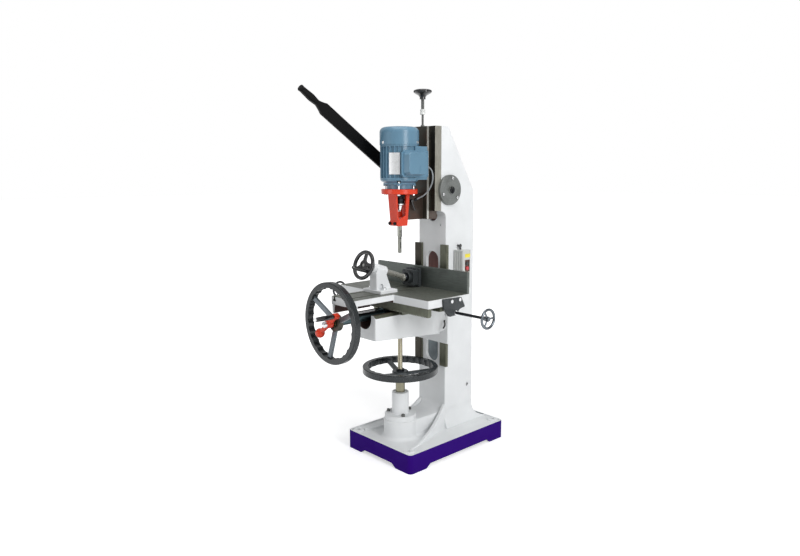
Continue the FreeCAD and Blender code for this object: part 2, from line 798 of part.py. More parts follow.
def frame_screws():
    screws = []
    for x, y in column_bolt_places():
        shank = cylinder((x, y, DECK_LOW), (0, 0, 1), COL_BOLT_R, COL_BOLT_LEN)
        screws.append(join([shank, hex_head((x, y, DECK_LOW - 8), (0, 0, 1), 19, 8)]))
    for place in flange_bolt_places():
        shank = cylinder((COL_HALF - 12, *place), (1, 0, 0), 4, FLANGE_T + 12)
        screws.append(join([shank, socket_head((COL_HALF + FLANGE_T, *place), (1, 0, 0), 7, 5)]))
    top = PILLAR_BOSS_TOP + PILLAR_FLANGE_T
    for place in pillar_bolt_places():
        shank = cylinder((*place, PILLAR_BOSS_TOP - 30), (0, 0, 1), 5, top - PILLAR_BOSS_TOP + 30)
        screws.append(join([shank, socket_head((*place, top), (0, 0, 1), 9, 11)]))
    return group(screws)


def pillar():
    z0 = PILLAR_BOSS_TOP
    z1 = z0 + PILLAR_FLANGE_T
    body = turned([(SCREW_R + 2, z0), (PILLAR_FLANGE_R, z0), (PILLAR_FLANGE_R, z1 - 3),
                   (PILLAR_FLANGE_R - 3, z1), (PILLAR_R + 4, z1),
                   (PILLAR_R, z1 + 4, (PILLAR_R + 1.2, z1 + 1.2)), (PILLAR_R, PILLAR_TOP - 2),
                   (PILLAR_R - 2, PILLAR_TOP), (LIFT_SPIGOT_R + RUN, PILLAR_TOP),
                   (LIFT_SPIGOT_R + RUN, PILLAR_TOP - LIFT_SPIGOT - 1),
                   (SCREW_R + 2, PILLAR_TOP - LIFT_SPIGOT - 1)])
    body.translate(Vector(0, AXIS_Y, 0))
    return body.cut([cylinder((*place, z0 - 1), (0, 0, 1), 5, PILLAR_FLANGE_T + 2)
                     for place in pillar_bolt_places()])


def switch_box():
    body = rounded_block(COL_HALF, BOX_X, BOX_Y0, BOX_Y1, BOX_Z0, BOX_Z1, 9)
    inside = rounded_block(COL_HALF - 1, BOX_X - 12, BOX_Y0 + 5, BOX_Y1 - 5, BOX_Z0 + 5, BOX_Z1 - 5, 5)
    tools = [inside]
    for i in range(3):
        x = COL_HALF + 18 + 15 * i
        tools.append(cylinder((x, BOX_Y0 - 1.2, BOX_Z0 + 8), (0, 0, 1), 4, BOX_Z1 - BOX_Z0 - 16))
    y0 = BUTTON_Y - 17
    y1 = BUTTON_Y + 17
    z0 = STOP_BUTTON_Z - 18
    z1 = START_Z + 18
    tools.append(prism([(y0, z0, 3), (y1, z0, 3), (y1, z1, 3), (y0, z1, 3)], "yz",
                       BOX_X - PANEL_RECESS, BOX_X + 1))
    for z in (START_Z, STOP_BUTTON_Z):
        tools.append(cylinder((BOX_X - 20, BUTTON_Y, z), (1, 0, 0), BUTTON_R + GAP, 21))
    tools.append(cylinder((ELBOW_X, ELBOW_Y, BOX_Z1 - 10), (0, 0, 1), ELBOW_R, 12))
    return cut(body, tools)


def cable_elbow():
    """Conduit elbow from the top of the switch box into the column's side."""
    x = ELBOW_X
    bend = ELBOW_BEND
    rise = ELBOW_Z - bend
    foot = Vector(x, ELBOW_Y, BOX_Z1 - 4)
    low = Vector(x, ELBOW_Y, rise)
    middle = Vector(x - bend + bend * math.cos(math.pi / 4), ELBOW_Y, rise + bend * math.sin(math.pi / 4))
    high = Vector(x - bend, ELBOW_Y, ELBOW_Z)
    inside = Vector(COL_HALF - 8, ELBOW_Y, ELBOW_Z)
    path = [Part.LineSegment(foot, low).toShape(), Part.Arc(low, middle, high).toShape(),
            Part.LineSegment(high, inside).toShape()]
    section = Part.Wire([Part.makeCircle(ELBOW_R, foot, Vector(0, 0, 1))])
    return Part.Wire(path).makePipeShell([section], True, False)


def push_button(z, out):
    face = BOX_X - PANEL_RECESS + out
    body = cylinder((face - out - BUTTON_BACK, BUTTON_Y, z), (1, 0, 0), BUTTON_R, out + BUTTON_BACK)
    rim = [e for e in body.Edges if e.BoundBox.XMin > face - 1e-6]
    return body.makeFillet(1.8, rim)


def start_button():
    return push_button(START_Z, BUTTON_OUT)


def stop_button():
    return push_button(STOP_BUTTON_Z, BUTTON_OUT + 2)


# Feed lever ------------------------------------------------------------------------------------

def pinion_shaft():
    left = LEVER_X - LEVER_T / 2 - 8
    right = COL_HALF + FLANGE_T + 9
    shaft = cylinder((left, PINION_Y, PINION_Z), (1, 0, 0), SHAFT_R, right - left)
    slot = box(right - 5, right + 1, PINION_Y - 2.5, PINION_Y + 2.5, PINION_Z - 30, PINION_Z + 30)
    wheel = placed(gear(FEED_MODULE, FEED_TEETH, FEED_FACE), (0, 0, 0), (1, 0, 0))
    wheel.rotate(Vector(0, 0, 0), Vector(1, 0, 0), angle_of_tooth(wheel))
    wheel.translate(Vector(-FEED_FACE / 2, PINION_Y, PINION_Z))
    collar_l = cylinder((-COL_HALF + COL_WALL + GAP, PINION_Y, PINION_Z), (1, 0, 0), 24, 12)
    collar_r = cylinder((COL_HALF - COL_WALL - GAP - 12, PINION_Y, PINION_Z), (1, 0, 0), 24, 12)
    return join([shaft.cut(slot), wheel, collar_l, collar_r])


def angle_of_tooth(wheel):
    """Turn about X, in degrees, that brings a tooth of the placed gear to -Y."""
    tip = FEED_MODULE * (FEED_TEETH / 2 + 1)
    for point in wheel.Vertexes:
        if abs(math.hypot(point.Y, point.Z) - tip) < 1e-6:
            half = tooth_angle(tip, tip - FEED_MODULE,
                               math.pi / (2 * FEED_TEETH) - BACKLASH / (FEED_MODULE * FEED_TEETH))
            angle = math.degrees(math.atan2(point.Z, point.Y))
            step = 360 / FEED_TEETH
            for centre in (angle - math.degrees(half), angle + math.degrees(half)):
                if abs((centre / step) - round(centre / step)) < 1e-4 or \
                        abs((2 * centre / step) - round(2 * centre / step)) < 1e-4:
                    return 180 - centre
    return 0.0


def lever_outline():
    """Lever seen from the side, along +a from the shaft: flat bar, neck and palm grip."""
    w = LEVER_W / 2
    neck = 12.0
    return [(0, -w), (LEVER_BAR - 16, -w), (LEVER_BAR, -w + 8, 8), (LEVER_NECK, -neck, 20),
            (LEVER_END - 70, -16.5, 60), (LEVER_END - 14, -12.5, 10), (LEVER_END, -14.5, 3),
            (LEVER_END, 14.5, 3), (LEVER_END - 14, 12.5, 10), (LEVER_END - 70, 16.5, 60),
            (LEVER_NECK, neck, 20), (LEVER_BAR, w - 8, 8), (LEVER_BAR - 16, w), (0, w)]


def feed_lever():
    bar = prism(lever_outline(), "xy", -LEVER_T / 2, LEVER_T / 2)
    long_edges = [e for e in bar.Edges if e.BoundBox.ZLength < 1e-6 and e.BoundBox.XLength > 200]
    bar = bar.makeFillet(3, long_edges)
    grip_start = LEVER_NECK + 4
    grip = turned([(0, grip_start), (10, grip_start), (16.5, (grip_start + LEVER_END) / 2 - 6, 60),
                   (12.5, LEVER_END - 16, 20), (15.5, LEVER_END - 6, 6), (13.5, LEVER_END), (0, LEVER_END)])
    grip = placed(grip, (0, 0, 0), (1, 0, 0))
    hub_low = -LEVER_T / 2 - 3
    hub_high = -(COL_HALF + LEFT_BOSS + GAP) - LEVER_X
    hub = cylinder((0, 0, hub_low), (0, 0, 1), LEVER_HUB_R, hub_high - hub_low)
    hub = hub.makeFillet(4, [edge_at(hub, hub_low)])
    lever = join([bar, grip, hub]).cut(cylinder((0, 0, hub_low - 1), (0, 0, 1), SHAFT_R, 200))
    angle = math.radians(LEVER_ANGLE)
    along = Vector(0, -math.cos(angle), math.sin(angle))
    across = Vector(1, 0, 0).cross(along)
    matrix = FreeCAD.Matrix(0, 0, 1, LEVER_X,
                            along.y, across.y, 0, PINION_Y,
                            along.z, across.z, 0, PINION_Z,
                            0, 0, 0, 1)
    return lever.transformed(matrix)


# Head ------------------------------------------------------------------------------------------

def head_slide():
    tan = math.tan(math.radians(DOVE_ANGLE))
    wide = DOVE_HALF + (SLIDE_BACK - WAY_FRONT) * tan
    half = [(DOVE_HALF, SLIDE_FRONT, 2), (DOVE_HALF, WAY_FRONT), (wide, SLIDE_BACK)]
    points = half + [(-x, y, *rest) for x, y, *rest in reversed(half)]
    body = prism(points, "xy", SLIDE_Z, COL_TOP)
    arm = box(-ARM_HALF, ARM_HALF, BRACKET_BACK_TOP, SLIDE_FRONT + 1, SLIDE_Z, ARM_TOP)
    lean = prism([(BRACKET_BACK_TOP - 1, ARM_TOP + 1), (BRACKET_BACK_LOW - 1, BRACKET_LOW),
                  (BRACKET_BACK_LOW - 20, BRACKET_LOW), (BRACKET_BACK_TOP - 40, ARM_TOP + 1)],
                 "yz", -ARM_HALF - 1, ARM_HALF + 1)
    foot = prism([(bracket_back(ARM_TOP), ARM_TOP), (bracket_back(SLIDE_Z), SLIDE_Z),
                  (BRACKET_BACK_TOP + 1, SLIDE_Z), (BRACKET_BACK_TOP + 1, ARM_TOP)],
                 "yz", -ARM_HALF, ARM_HALF)
    body = join([body, arm.cut(lean), foot])
    channel = box(-CHANNEL_HALF, CHANNEL_HALF, CHANNEL_Y, SLIDE_BACK + 1, SLIDE_Z - 1, COL_TOP - SLIDE_CAP)
    pocket = box(-CHANNEL_HALF, CHANNEL_HALF, ROD_POCKET_Y, SLIDE_BACK + 1, RACK_HIGH, COL_TOP - SLIDE_CAP)
    bore = cylinder((0, ROD_Y, COL_TOP - SLIDE_CAP - 1), (0, 0, 1), DEPTH_STEM_R + RUN, SLIDE_CAP + 2)
    clip_hole = cylinder((ARM_HALF - 12, LOCK_Y, LOCK_Z), (1, 0, 0), 4 + RUN, 13)
    return cut(body, [channel, pocket, bore, clip_hole])


def bracket_back(z):
    """Y of the bracket's rear face at one height."""
    top = BRACKET_TOP - BRACKET_FLANGE_T
    share = (z - BRACKET_LOW) / (top - BRACKET_LOW)
    return BRACKET_BACK_LOW + share * (BRACKET_BACK_TOP - BRACKET_BACK_LOW)


def feed_rack():
    back = CHANNEL_Y
    pitch_line = PINION_Y - FEED_MODULE * FEED_TEETH / 2
    points = rack(FEED_MODULE, RACK_LOW, RACK_HIGH, pitch_line, back, PINION_Z, 1)
    side = [(across, along) for along, across in points]
    return prism(side, "yz", -CHANNEL_HALF + 1.5, CHANNEL_HALF - 1.5)


def bracket_side(inset):
    top = BRACKET_TOP - BRACKET_FLANGE_T
    return [(BRACKET_FRONT_TOP, top + inset), (BRACKET_FRONT_LOW + 1, WINDOW_LOW - 6),
            (CLAMP_FACE, WINDOW_LOW - 12), (CLAMP_FACE, BRACKET_LOW + 4),
            (BRACKET_FRONT_LOW + 4, BRACKET_LOW), (BRACKET_BACK_LOW, BRACKET_LOW),
            (BRACKET_BACK_TOP, top + inset)]


def spindle_bracket():
    """Cast bracket: round motor flange over a leaning, open-sided chisel holder."""
    top = BRACKET_TOP - BRACKET_FLANGE_T
    side = prism(bracket_side(1), "yz", -BRACKET_HALF_TOP, BRACKET_HALF_TOP)
    across = [(-BRACKET_HALF_LOW, BRACKET_LOW - 1), (BRACKET_HALF_LOW, BRACKET_LOW - 1),
              (BRACKET_HALF_TOP, top + 2), (-BRACKET_HALF_TOP, top + 2)]
    body = side.common(prism(across, "xz", BRACKET_FRONT_TOP - 10, BRACKET_BACK_TOP + 10))
    long_edges = [e for e in body.Edges if e.BoundBox.ZLength > 110]
    body = body.makeFillet(4, long_edges)
    window = prism([(AXIS_Y - 40, top + 0.5), (AXIS_Y + 17, top + 0.5), (AXIS_Y + 12, WINDOW_LOW + 20, 5),
                    (AXIS_Y - 27, WINDOW_LOW, 4), (AXIS_Y - 36, WINDOW_LOW + 16, 8)],
                   "yz", -BRACKET_HALF_TOP - 1, BRACKET_HALF_TOP + 1)
    flange = turned([(CHUCK_R + 7, top), (BRACKET_FLANGE_R - 2.5, top), (BRACKET_FLANGE_R, top + 2.5),
                     (BRACKET_FLANGE_R, BRACKET_TOP - 2.5), (BRACKET_FLANGE_R - 2.5, BRACKET_TOP),
                     (CHUCK_R + 7, BRACKET_TOP)])
    flange.translate(Vector(0, AXIS_Y, 0))
    bore = cylinder((0, AXIS_Y, BRACKET_LOW - 1), (0, 0, 1), SHANK_R, 60)
    throat = cylinder((0, AXIS_Y, WINDOW_LOW + 12), (0, 0, 1), CHUCK_R + 2.5, top - WINDOW_LOW)
    shape = cut(body, [window])
    shape = join([shape.cut(cylinder((0, AXIS_Y, top - 0.5), (0, 0, 1), CHUCK_R + 7, 3)), flange])
    screws = [cylinder((x, BRACKET_FRONT_LOW - 12, CLAMP_Z), (0, 1, 0), 4, 26) for x in (-CLAMP_X, CLAMP_X)]
    studs = [cylinder((*place, top - 1), (0, 0, 1), 4, BRACKET_FLANGE_T + 2) for place in stud_places()]
    return cut(shape, [bore, throat] + screws + studs)


def stud_places():
    r = STUD_CIRCLE_R
    return [(r * math.cos(math.radians(a)), AXIS_Y + r * math.sin(math.radians(a))) for a in STUD_ANGLES]


def motor_frame():
    """Finned stator housing with feet for the terminal box and webs for the upper bearing."""
    z0 = BELL_TOP
    shell = turned([(STATOR_BORE, z0), (STATOR_R, z0), (STATOR_R, FRAME_TOP), (BEARING_R, FRAME_TOP),
                    (BEARING_R, FRAME_TOP - BEARING_W), (MOTOR_SHAFT_R + 3, FRAME_TOP - BEARING_W),
                    (MOTOR_SHAFT_R + 3, FRAME_TOP - BEARING_W - 5),
                    (STATOR_BORE, FRAME_TOP - BEARING_W - 5)])
    fins = []
    for i in range(FIN_COUNT):
        angle = 360 * (i + 0.5) / FIN_COUNT
        turned_to = (angle + 180) % 360 - 180
        if FIN_GAP[0] < turned_to < FIN_GAP[1]:
            continue
        fin = box(STATOR_R - 1, FIN_R, -FIN_T / 2, FIN_T / 2, z0, FRAME_TOP)
        fin.rotate(Vector(0, 0, 0), Vector(0, 0, 1), angle)
        fins.append(fin)
    rings = [turned([(STATOR_R - 1, z), (FIN_R, z), (FIN_R, z + RING_H), (STATOR_R - 1, z + RING_H)])
             for z in (z0, FRAME_TOP - RING_H)]
    body = join([shell] + fins + rings)
    body.translate(Vector(0, AXIS_Y, 0))
    return body


def end_bell():
    """Lower end shield with a bearing seat, stud ears and a conical neck."""
    z0 = BRACKET_TOP
    z1 = BELL_TOP
    seat = z0 + 10
    ear = z0 + EAR_TOP
    body = turned([(MOTOR_SHAFT_R + 3, z0), (BELL_NECK_R, z0), (BELL_NECK_R, ear - BELL_RING_T, 3),
                   (BELL_RING_R, ear - BELL_RING_T, 1.5), (BELL_RING_R, ear, 2), (FIN_R - 1, z1 - 5, 6),
                   (FIN_R - 1, z1), (STATOR_BORE + 8, z1), (STATOR_BORE + 8, z1 - 12),
                   (BEARING_R + 12, seat + BEARING_W), (BEARING_R, seat + BEARING_W), (BEARING_R, seat),
                   (MOTOR_SHAFT_R + 3, seat)])
    body.translate(Vector(0, AXIS_Y, 0))
    ears = [cylinder((*place, ear - 2 * BELL_RING_T), (0, 0, 1), EAR_R, 2 * BELL_RING_T)
            for place in stud_places()]
    holes = [cylinder((*place, z0 - 1), (0, 0, 1), STUD_R, EAR_TOP + 2) for place in stud_places()]
    for angle in STUD_ANGLES:
        slot = box(STUD_CIRCLE_R, FIN_R + 5, -NUT_POCKET_R, NUT_POCKET_R, ear, z1 - 4)
        pocket = slot.fuse(cylinder((STUD_CIRCLE_R, 0, ear), (0, 0, 1), NUT_POCKET_R, z1 - 4 - ear))
        pocket.rotate(Vector(0, 0, 0), Vector(0, 0, 1), angle)
        pocket.translate(Vector(0, AXIS_Y, 0))
        holes.append(pocket)
    return cut(join([body] + ears), holes)


def fan_cowl():
    """Round-edged cover over the fan, with a grille of holes in its top."""
    outer = COWL_R
    inner = COWL_R - COWL_T
    z0 = FRAME_TOP
    cowl = turned([(inner, z0), (outer, z0), (outer, COWL_TOP, COWL_ROUND), (0, COWL_TOP),
                   (0, COWL_TOP - COWL_T), (inner, COWL_TOP - COWL_T, COWL_ROUND - COWL_T)])
    holes = []
    for ring, count in ((1, 6), (2, 12), (3, 18)):
        for i in range(count):
            angle = 2 * math.pi * i / count
            r = ring * GRILLE_R / 3
            holes.append(cylinder((r * math.cos(angle), r * math.sin(angle), COWL_TOP - 10), (0, 0, 1),
                                  GRILLE_HOLE_R, 12))
    cowl = cowl.cut(holes)
    cowl.translate(Vector(0, AXIS_Y, 0))
    return cowl


def octagon(span_y, span_z, chamfer, grow, x):
    """Wire of a rectangle with cut corners, grown on all sides, on the plane at x."""
    y0 = span_y[0] - grow
    y1 = span_y[1] + grow
    z0 = span_z[0] - grow
    z1 = span_z[1] + grow
    c = chamfer
    corners = [(y0 + c, z0), (y1 - c, z0), (y1, z0 + c), (y1, z1 - c), (y1 - c, z1), (y0 + c, z1),
               (y0, z1 - c), (y0, z0 + c)]
    points = [Vector(x, y, z) for y, z in corners]
    return Part.makePolygon(points + points[:1])


def terminal_box():
    """Box base between two cast feet, hollowed to sit on the stator."""
    base = box(TERMINAL_BACK, TERMINAL_X, *TERMINAL_Y, *TERMINAL_Z)
    feet = [box(TERMINAL_BACK, TERMINAL_X, *FOOT_Y, FOOT_Z[0], TERMINAL_Z[0] + 6),
            box(TERMINAL_BACK, TERMINAL_X, *FOOT_Y, TERMINAL_Z[1] - 6, FOOT_Z[1])]
    tall = FOOT_Z[1] - FOOT_Z[0] + 2
    stator = cylinder((0, AXIS_Y, FOOT_Z[0] - 1), (0, 0, 1), STATOR_R, tall)
    rings = cylinder((0, AXIS_Y, FOOT_Z[0] - 1), (0, 0, 1), FIN_R, tall)
    between = box(-FIN_R - 1, FIN_R + 1, AXIS_Y - FIN_R - 1, AXIS_Y + FIN_R + 1,
                  BELL_TOP + RING_H, FRAME_TOP - RING_H)
    return cut(join([base] + feet), [stator, rings.cut(between)])


def terminal_cover():
    """Lid: flat rim with two cut corners, a drafted raised face and four screws."""
    y0 = LID_Y[0]
    y1 = LID_Y[1]
    z0 = LID_Z[0]
    z1 = LID_Z[1]
    c = LID_CHAMFER
    x0 = TERMINAL_X
    x1 = TERMINAL_X + LID_T
    plate = prism([(y0, z0 + c, 3), (y0 + c, z0, 3), (y1, z0, 5), (y1, z1, 5), (y0 + c, z1, 3),
                   (y0, z1 - c, 3)], "yz", x0, x1)
    face = Part.makeLoft([octagon(COVER_Y, COVER_Z, COVER_CHAMFER, COVER_DRAFT, x1 - 1),
                          octagon(COVER_Y, COVER_Z, COVER_CHAMFER, 0, COVER_X)], True, True)
    face = face.makeFillet(4, [e for e in face.Edges if e.BoundBox.XMin > COVER_X - 1e-6])
    heads = [cylinder((x1, y, z), (1, 0, 0), 4, 2.4)
             for y in (y0 + c, y1 - LID_SCREW_IN) for z in (z0 + LID_SCREW_IN, z1 - LID_SCREW_IN)]
    return join([plate, face] + heads)


def head_screws():
    """Clamp screws of the chisel holder and the four studs that hold the motor."""
    screws = []
    seat = CLAMP_FACE
    for x in (-CLAMP_X, CLAMP_X):
        shank = cylinder((x, seat, CLAMP_Z), (0, 1, 0), 4, 16)
        screws.append(join([shank, socket_head((x, seat, CLAMP_Z), (0, -1, 0), 7.5, 9)]))
    low = BRACKET_TOP - BRACKET_FLANGE_T
    for place in stud_places():
        stud = cylinder((*place, low - 3), (0, 0, 1), STUD_R, BRACKET_TOP + EAR_TOP + 8 - low + 3)
        nut_low = hex_head((*place, low - 6), (0, 0, 1), 13, 6)
        nut_high = hex_head((*place, BRACKET_TOP + EAR_TOP), (0, 0, 1), 13, 6)
        screws.append(join([stud, nut_low, nut_high]))
    return group(screws)


def tube_path(points, share=0.45):
    """Straight runs joined by tangent arcs, each as large as its two runs allow."""
    route = [Vector(*p) for p in points]
    edges = []
    at = route[0]
    for before, corner, after in zip(route, route[1:], route[2:]):
        to_a = before - corner
        to_b = after - corner
        along = share * min(to_a.Length, to_b.Length)
        to_a.normalize()
        to_b.normalize()
        half = to_a.getAngle(to_b) / 2
        radius = along * math.tan(half)
        start = corner + to_a * along
        end = corner + to_b * along
        middle = corner + (to_a + to_b).normalize() * (radius / math.sin(half) - radius)
        edges.append(Part.LineSegment(at, start).toShape())
        edges.append(Part.Arc(start, middle, end).toShape())
        at = end
    edges.append(Part.LineSegment(at, route[-1]).toShape())
    return Part.Wire(edges)


def motor_cable():
    path = tube_path(CABLE_ROUTE)
    heading = Vector(*CABLE_ROUTE[1]) - Vector(*CABLE_ROUTE[0])
    section = Part.Wire([Part.makeCircle(CABLE_R, Vector(*CABLE_ROUTE[0]), heading)])
    return path.makePipeShell([section], True, False)


def gland(seat, tip, cable_at):
    """Cable gland as a hexagon and a tapered nose from seat to tip, bored for the cable."""
    direction = Vector(*tip) - Vector(*seat)
    length = direction.Length
    nut = hex_head(seat, tuple(direction), 15, length * 0.45)
    nose_at = Vector(*seat) + direction * 0.45
    nose = cone(tuple(nose_at), tuple(direction), 6.5, CABLE_R + 1.2, length * 0.55)
    return join([nut, nose]).cut(cylinder(cable_at, tuple(direction), CABLE_R, 60))


def cable_glands():
    first = CABLE_ROUTE[0]
    second = CABLE_ROUTE[1]
    wall = TERMINAL_Y[1]
    heading = (Vector(*second) - Vector(*first)).normalize()
    seat = Vector(*first) - heading * (first[1] - wall) / heading.y
    upper = gland(tuple(seat - heading * 4), tuple(Vector(*first) + heading * 2), first)
    upper = upper.cut(box(0, TERMINAL_X, wall - 30, wall, *TERMINAL_Z))
    last = Vector(*CABLE_ROUTE[-1])
    back = (Vector(*CABLE_ROUTE[-2]) - last).normalize()
    start = last - back * ((last.x - ARM_HALF) / back.x)
    lower = gland(tuple(start - back * 4), tuple(last + back * 4), tuple(last))
    lower = lower.cut(box(-ARM_HALF - 38, ARM_HALF, -200, 0, SLIDE_Z - 10, ARM_TOP + 18))
    return group([upper, lower])


def mortise_chisel():
    """Round shank, tapered shoulder and square hollow blade with chip ports and a ground mouth."""
    shoulder = 18.0
    half = CHISEL_SIZE / 2
    shank = cylinder((0, AXIS_Y, SHANK_LOW), (0, 0, 1), SHANK_R, WINDOW_LOW + 2 - SHANK_LOW)
    taper = cone((0, AXIS_Y, SHANK_LOW - shoulder), (0, 0, 1), half * 1.02, SHANK_R, shoulder)
    blade = box(-half, half, AXIS_Y - half, AXIS_Y + half, CHISEL_LOW, SHANK_LOW - shoulder + 8)
    bore = cylinder((0, AXIS_Y, CHISEL_LOW - 1), (0, 0, 1), BIT_R + 0.6, 200)
    mouth = cone((0, AXIS_Y, CHISEL_LOW - 0.5), (0, 0, 1), half * 1.05, BIT_R + 0.5, 6)
    ports = []
    port_top = SHANK_LOW + 30
    ports.append(prism([(AXIS_Y - 4.5, SHANK_LOW - 14, 4), (AXIS_Y + 4.5, SHANK_LOW - 14, 4),
                        (AXIS_Y + 4.5, port_top, 4), (AXIS_Y - 4.5, port_top, 4)], "yz", -20, 20))
    ports.append(prism([(AXIS_Y - 2.5, CHISEL_LOW + 22, 2.4), (AXIS_Y + 2.5, CHISEL_LOW + 22, 2.4),
                        (AXIS_Y + 2.5, CHISEL_LOW + 52, 2.4), (AXIS_Y - 2.5, CHISEL_LOW + 52, 2.4)],
                       "yz", 0, 20))
    return cut(join([shank, taper, blade]), [bore, mouth] + ports)


def spindle_bearings():
    rings = []
    for z in (BRACKET_TOP + 10, FRAME_TOP - BEARING_W):
        ring = turned([(MOTOR_SHAFT_R + RUN, z), (BEARING_R, z), (BEARING_R, z + BEARING_W),
                       (MOTOR_SHAFT_R + RUN, z + BEARING_W)])
        ring.translate(Vector(0, AXIS_Y, 0))
        rings.append(ring)
    return group(rings)


def head_lock_lever():
    """Small clamp lever that hangs from the arm's right side."""
    x0 = ARM_HALF + GAP
    pin = cylinder((ARM_HALF - 11, LOCK_Y, LOCK_Z), (1, 0, 0), 4, 12)
    hub = cylinder((x0, LOCK_Y, LOCK_Z), (1, 0, 0), 8, 14)
    hub = hub.makeFillet(2, [e for e in hub.Edges if e.BoundBox.XMin > x0 + 13])
    hang = (0.12, 0.36, -1)
    arm = cone((x0 + 7, LOCK_Y, LOCK_Z), hang, 5.5, 4.0, 44)
    size = math.sqrt(sum(c * c for c in hang))
    tip = tuple(p + 44 * c / size for p, c in zip((x0 + 7, LOCK_Y, LOCK_Z), hang))
    return join([pin, hub, arm, ball(tip, 6.0)])


# Spindle ---------------------------------------------------------------------------------------

def rotor_shaft():
    body = turned([(0, SHAFT_END), (MOTOR_SHAFT_R - 1, SHAFT_END), (MOTOR_SHAFT_R, SHAFT_END + 2),
                   (MOTOR_SHAFT_R, BELL_TOP + 8), (ROTOR_R, BELL_TOP + 8),
                   (ROTOR_R, FRAME_TOP - BEARING_W - 14), (MOTOR_SHAFT_R, FRAME_TOP - BEARING_W - 14),
                   (MOTOR_SHAFT_R, COWL_TOP - 30), (0, COWL_TOP - 30)])
    body.translate(Vector(0, AXIS_Y, 0))
    return body


def cooling_fan():
    z0 = FRAME_TOP + 16
    hub = cylinder((0, 0, z0), (0, 0, 1), 22, 26)
    disc = cylinder((0, 0, z0), (0, 0, 1), FAN_R - 6, 3)
    blades = []
    for i in range(FAN_BLADES):
        blade = box(20, FAN_R, -1.5, 1.5, z0, z0 + 26)
        blade.rotate(Vector(0, 0, 0), Vector(0, 0, 1), 360 * i / FAN_BLADES)
        blades.append(blade)
    fan = join([hub, disc] + blades).cut(cylinder((0, 0, z0 - 1), (0, 0, 1), MOTOR_SHAFT_R, 40))
    fan.translate(Vector(0, AXIS_Y, 0))
    return fan


def drill_chuck():
    """Keyed chuck: socket over the shaft, ribbed sleeve, bright ring and tapered nose."""
    z = 1200.0
    body = turned([(BIT_SHANK_R, z), (6.5, z), (10, z + 8), (15.5, z + 27), (17.5, z + 30), (17.5, z + 33),
                   (CHUCK_R, z + 33), (CHUCK_R, z + 37), (19.5, z + 38), (19.5, z + 46), (21.5, z + 48),
                   (21.5, z + 60), (19, z + 62), (19, z + 66), (21.5, z + 68), (21.5, z + 80), (18, z + 84),
                   (MOTOR_SHAFT_R, z + 84), (MOTOR_SHAFT_R, z + 62), (BIT_SHANK_R, z + 62)])
    body.translate(Vector(0, AXIS_Y, 0))
    return body


def auger_bit():
    """Auger with a two-start flute, drawn as stacked helical lands round a core."""
    twist_low = BIT_TIP + 8
    twist_high = SHANK_LOW + 60
    core = cylinder((0, 0, twist_low - 4), (0, 0, 1), 2.2, twist_high - twist_low + 8)
    shank = cylinder((0, 0, twist_high), (0, 0, 1), BIT_SHANK_R, BIT_SHANK_TOP - twist_high)
    tip = cone((0, 0, BIT_TIP), (0, 0, 1), 0.4, 2.2, twist_low - 4 - BIT_TIP)
    pitch = 22.0
    low = twist_low - 1.8
    high = twist_low + 1.8
    corners = [Vector(0.6, 0, low), Vector(BIT_R, 0, low), Vector(BIT_R, 0, high), Vector(0.6, 0, high)]
    section = Part.Wire(Part.makePolygon(corners + corners[:1]))
    helix = Part.makeHelix(pitch, twist_high - twist_low, BIT_R)
    helix.translate(Vector(0, 0, twist_low))
    land = Part.Wire(helix).makePipeShell([section], True, True)
    bit = join([core, shank, tip, land])
    bit.translate(Vector(0, AXIS_Y, 0))
    return bit


# Depth stop ------------------------------------------------------------------------------------

def depth_screw():
    thread = DEPTH_ROD_R
    low = LUG_HIGH + 10
    cap = COL_TOP - SLIDE_CAP
    body = turned([(0, low), (thread - 1, low), (thread, low + 1), (thread, cap - GAP),
                   (DEPTH_STEM_R, cap - GAP), (DEPTH_STEM_R, COL_TOP + GAP), (9, COL_TOP + GAP),
                   (9, COL_TOP + 7), (DEPTH_STEM_R, COL_TOP + 7),
                   (DEPTH_STEM_R, DEPTH_STEM_TOP), (DEPTH_COLLAR_R, DEPTH_STEM_TOP),
                   (DEPTH_COLLAR_R, DEPTH_COLLAR_TOP), (thread, DEPTH_COLLAR_TOP), (thread, KNOB_LOW + 20),
                   (0, KNOB_LOW + 20)])
    body.translate(Vector(0, ROD_Y, 0))
    return body


def depth_knob():
    """Dished hand knob with finger lobes round its edge."""
    lobes = 8
    body = turned([(DEPTH_ROD_R, KNOB_LOW), (14, KNOB_LOW), (14, KNOB_LOW + 10), (20, KNOB_LOW + 18, 6),
                   (KNOB_R - 6, KNOB_LOW + 28, 6), (KNOB_R, KNOB_LOW + 34, 5), (KNOB_R - 2, KNOB_TOP - 4, 4),
                   (KNOB_R - 12, KNOB_TOP, 6), (0, KNOB_TOP - 3), (0, KNOB_LOW + 20),
                   (DEPTH_ROD_R, KNOB_LOW + 20)])
    cuts = []
    for i in range(lobes):
        angle = 2 * math.pi * (i + 0.5) / lobes
        reach = KNOB_R + 9
        at = (reach * math.cos(angle), reach * math.sin(angle), KNOB_LOW)
        cuts.append(cylinder(at, (0, 0, 1), 13, 60))
    body = body.cut(cuts)
    body.translate(Vector(0, ROD_Y, 0))
    return body


def depth_nut():
    half = CHANNEL_HALF - GAP
    body = box(-half, half, ROD_POCKET_Y + GAP, LUG_Y + 12, NUT_LOW, NUT_LOW + NUT_H)
    return body.cut(cylinder((0, ROD_Y, NUT_LOW - 1), (0, 0, 1), DEPTH_ROD_R + RUN, NUT_H + 2))


# Handwheels ------------------------------------------------------------------------------------

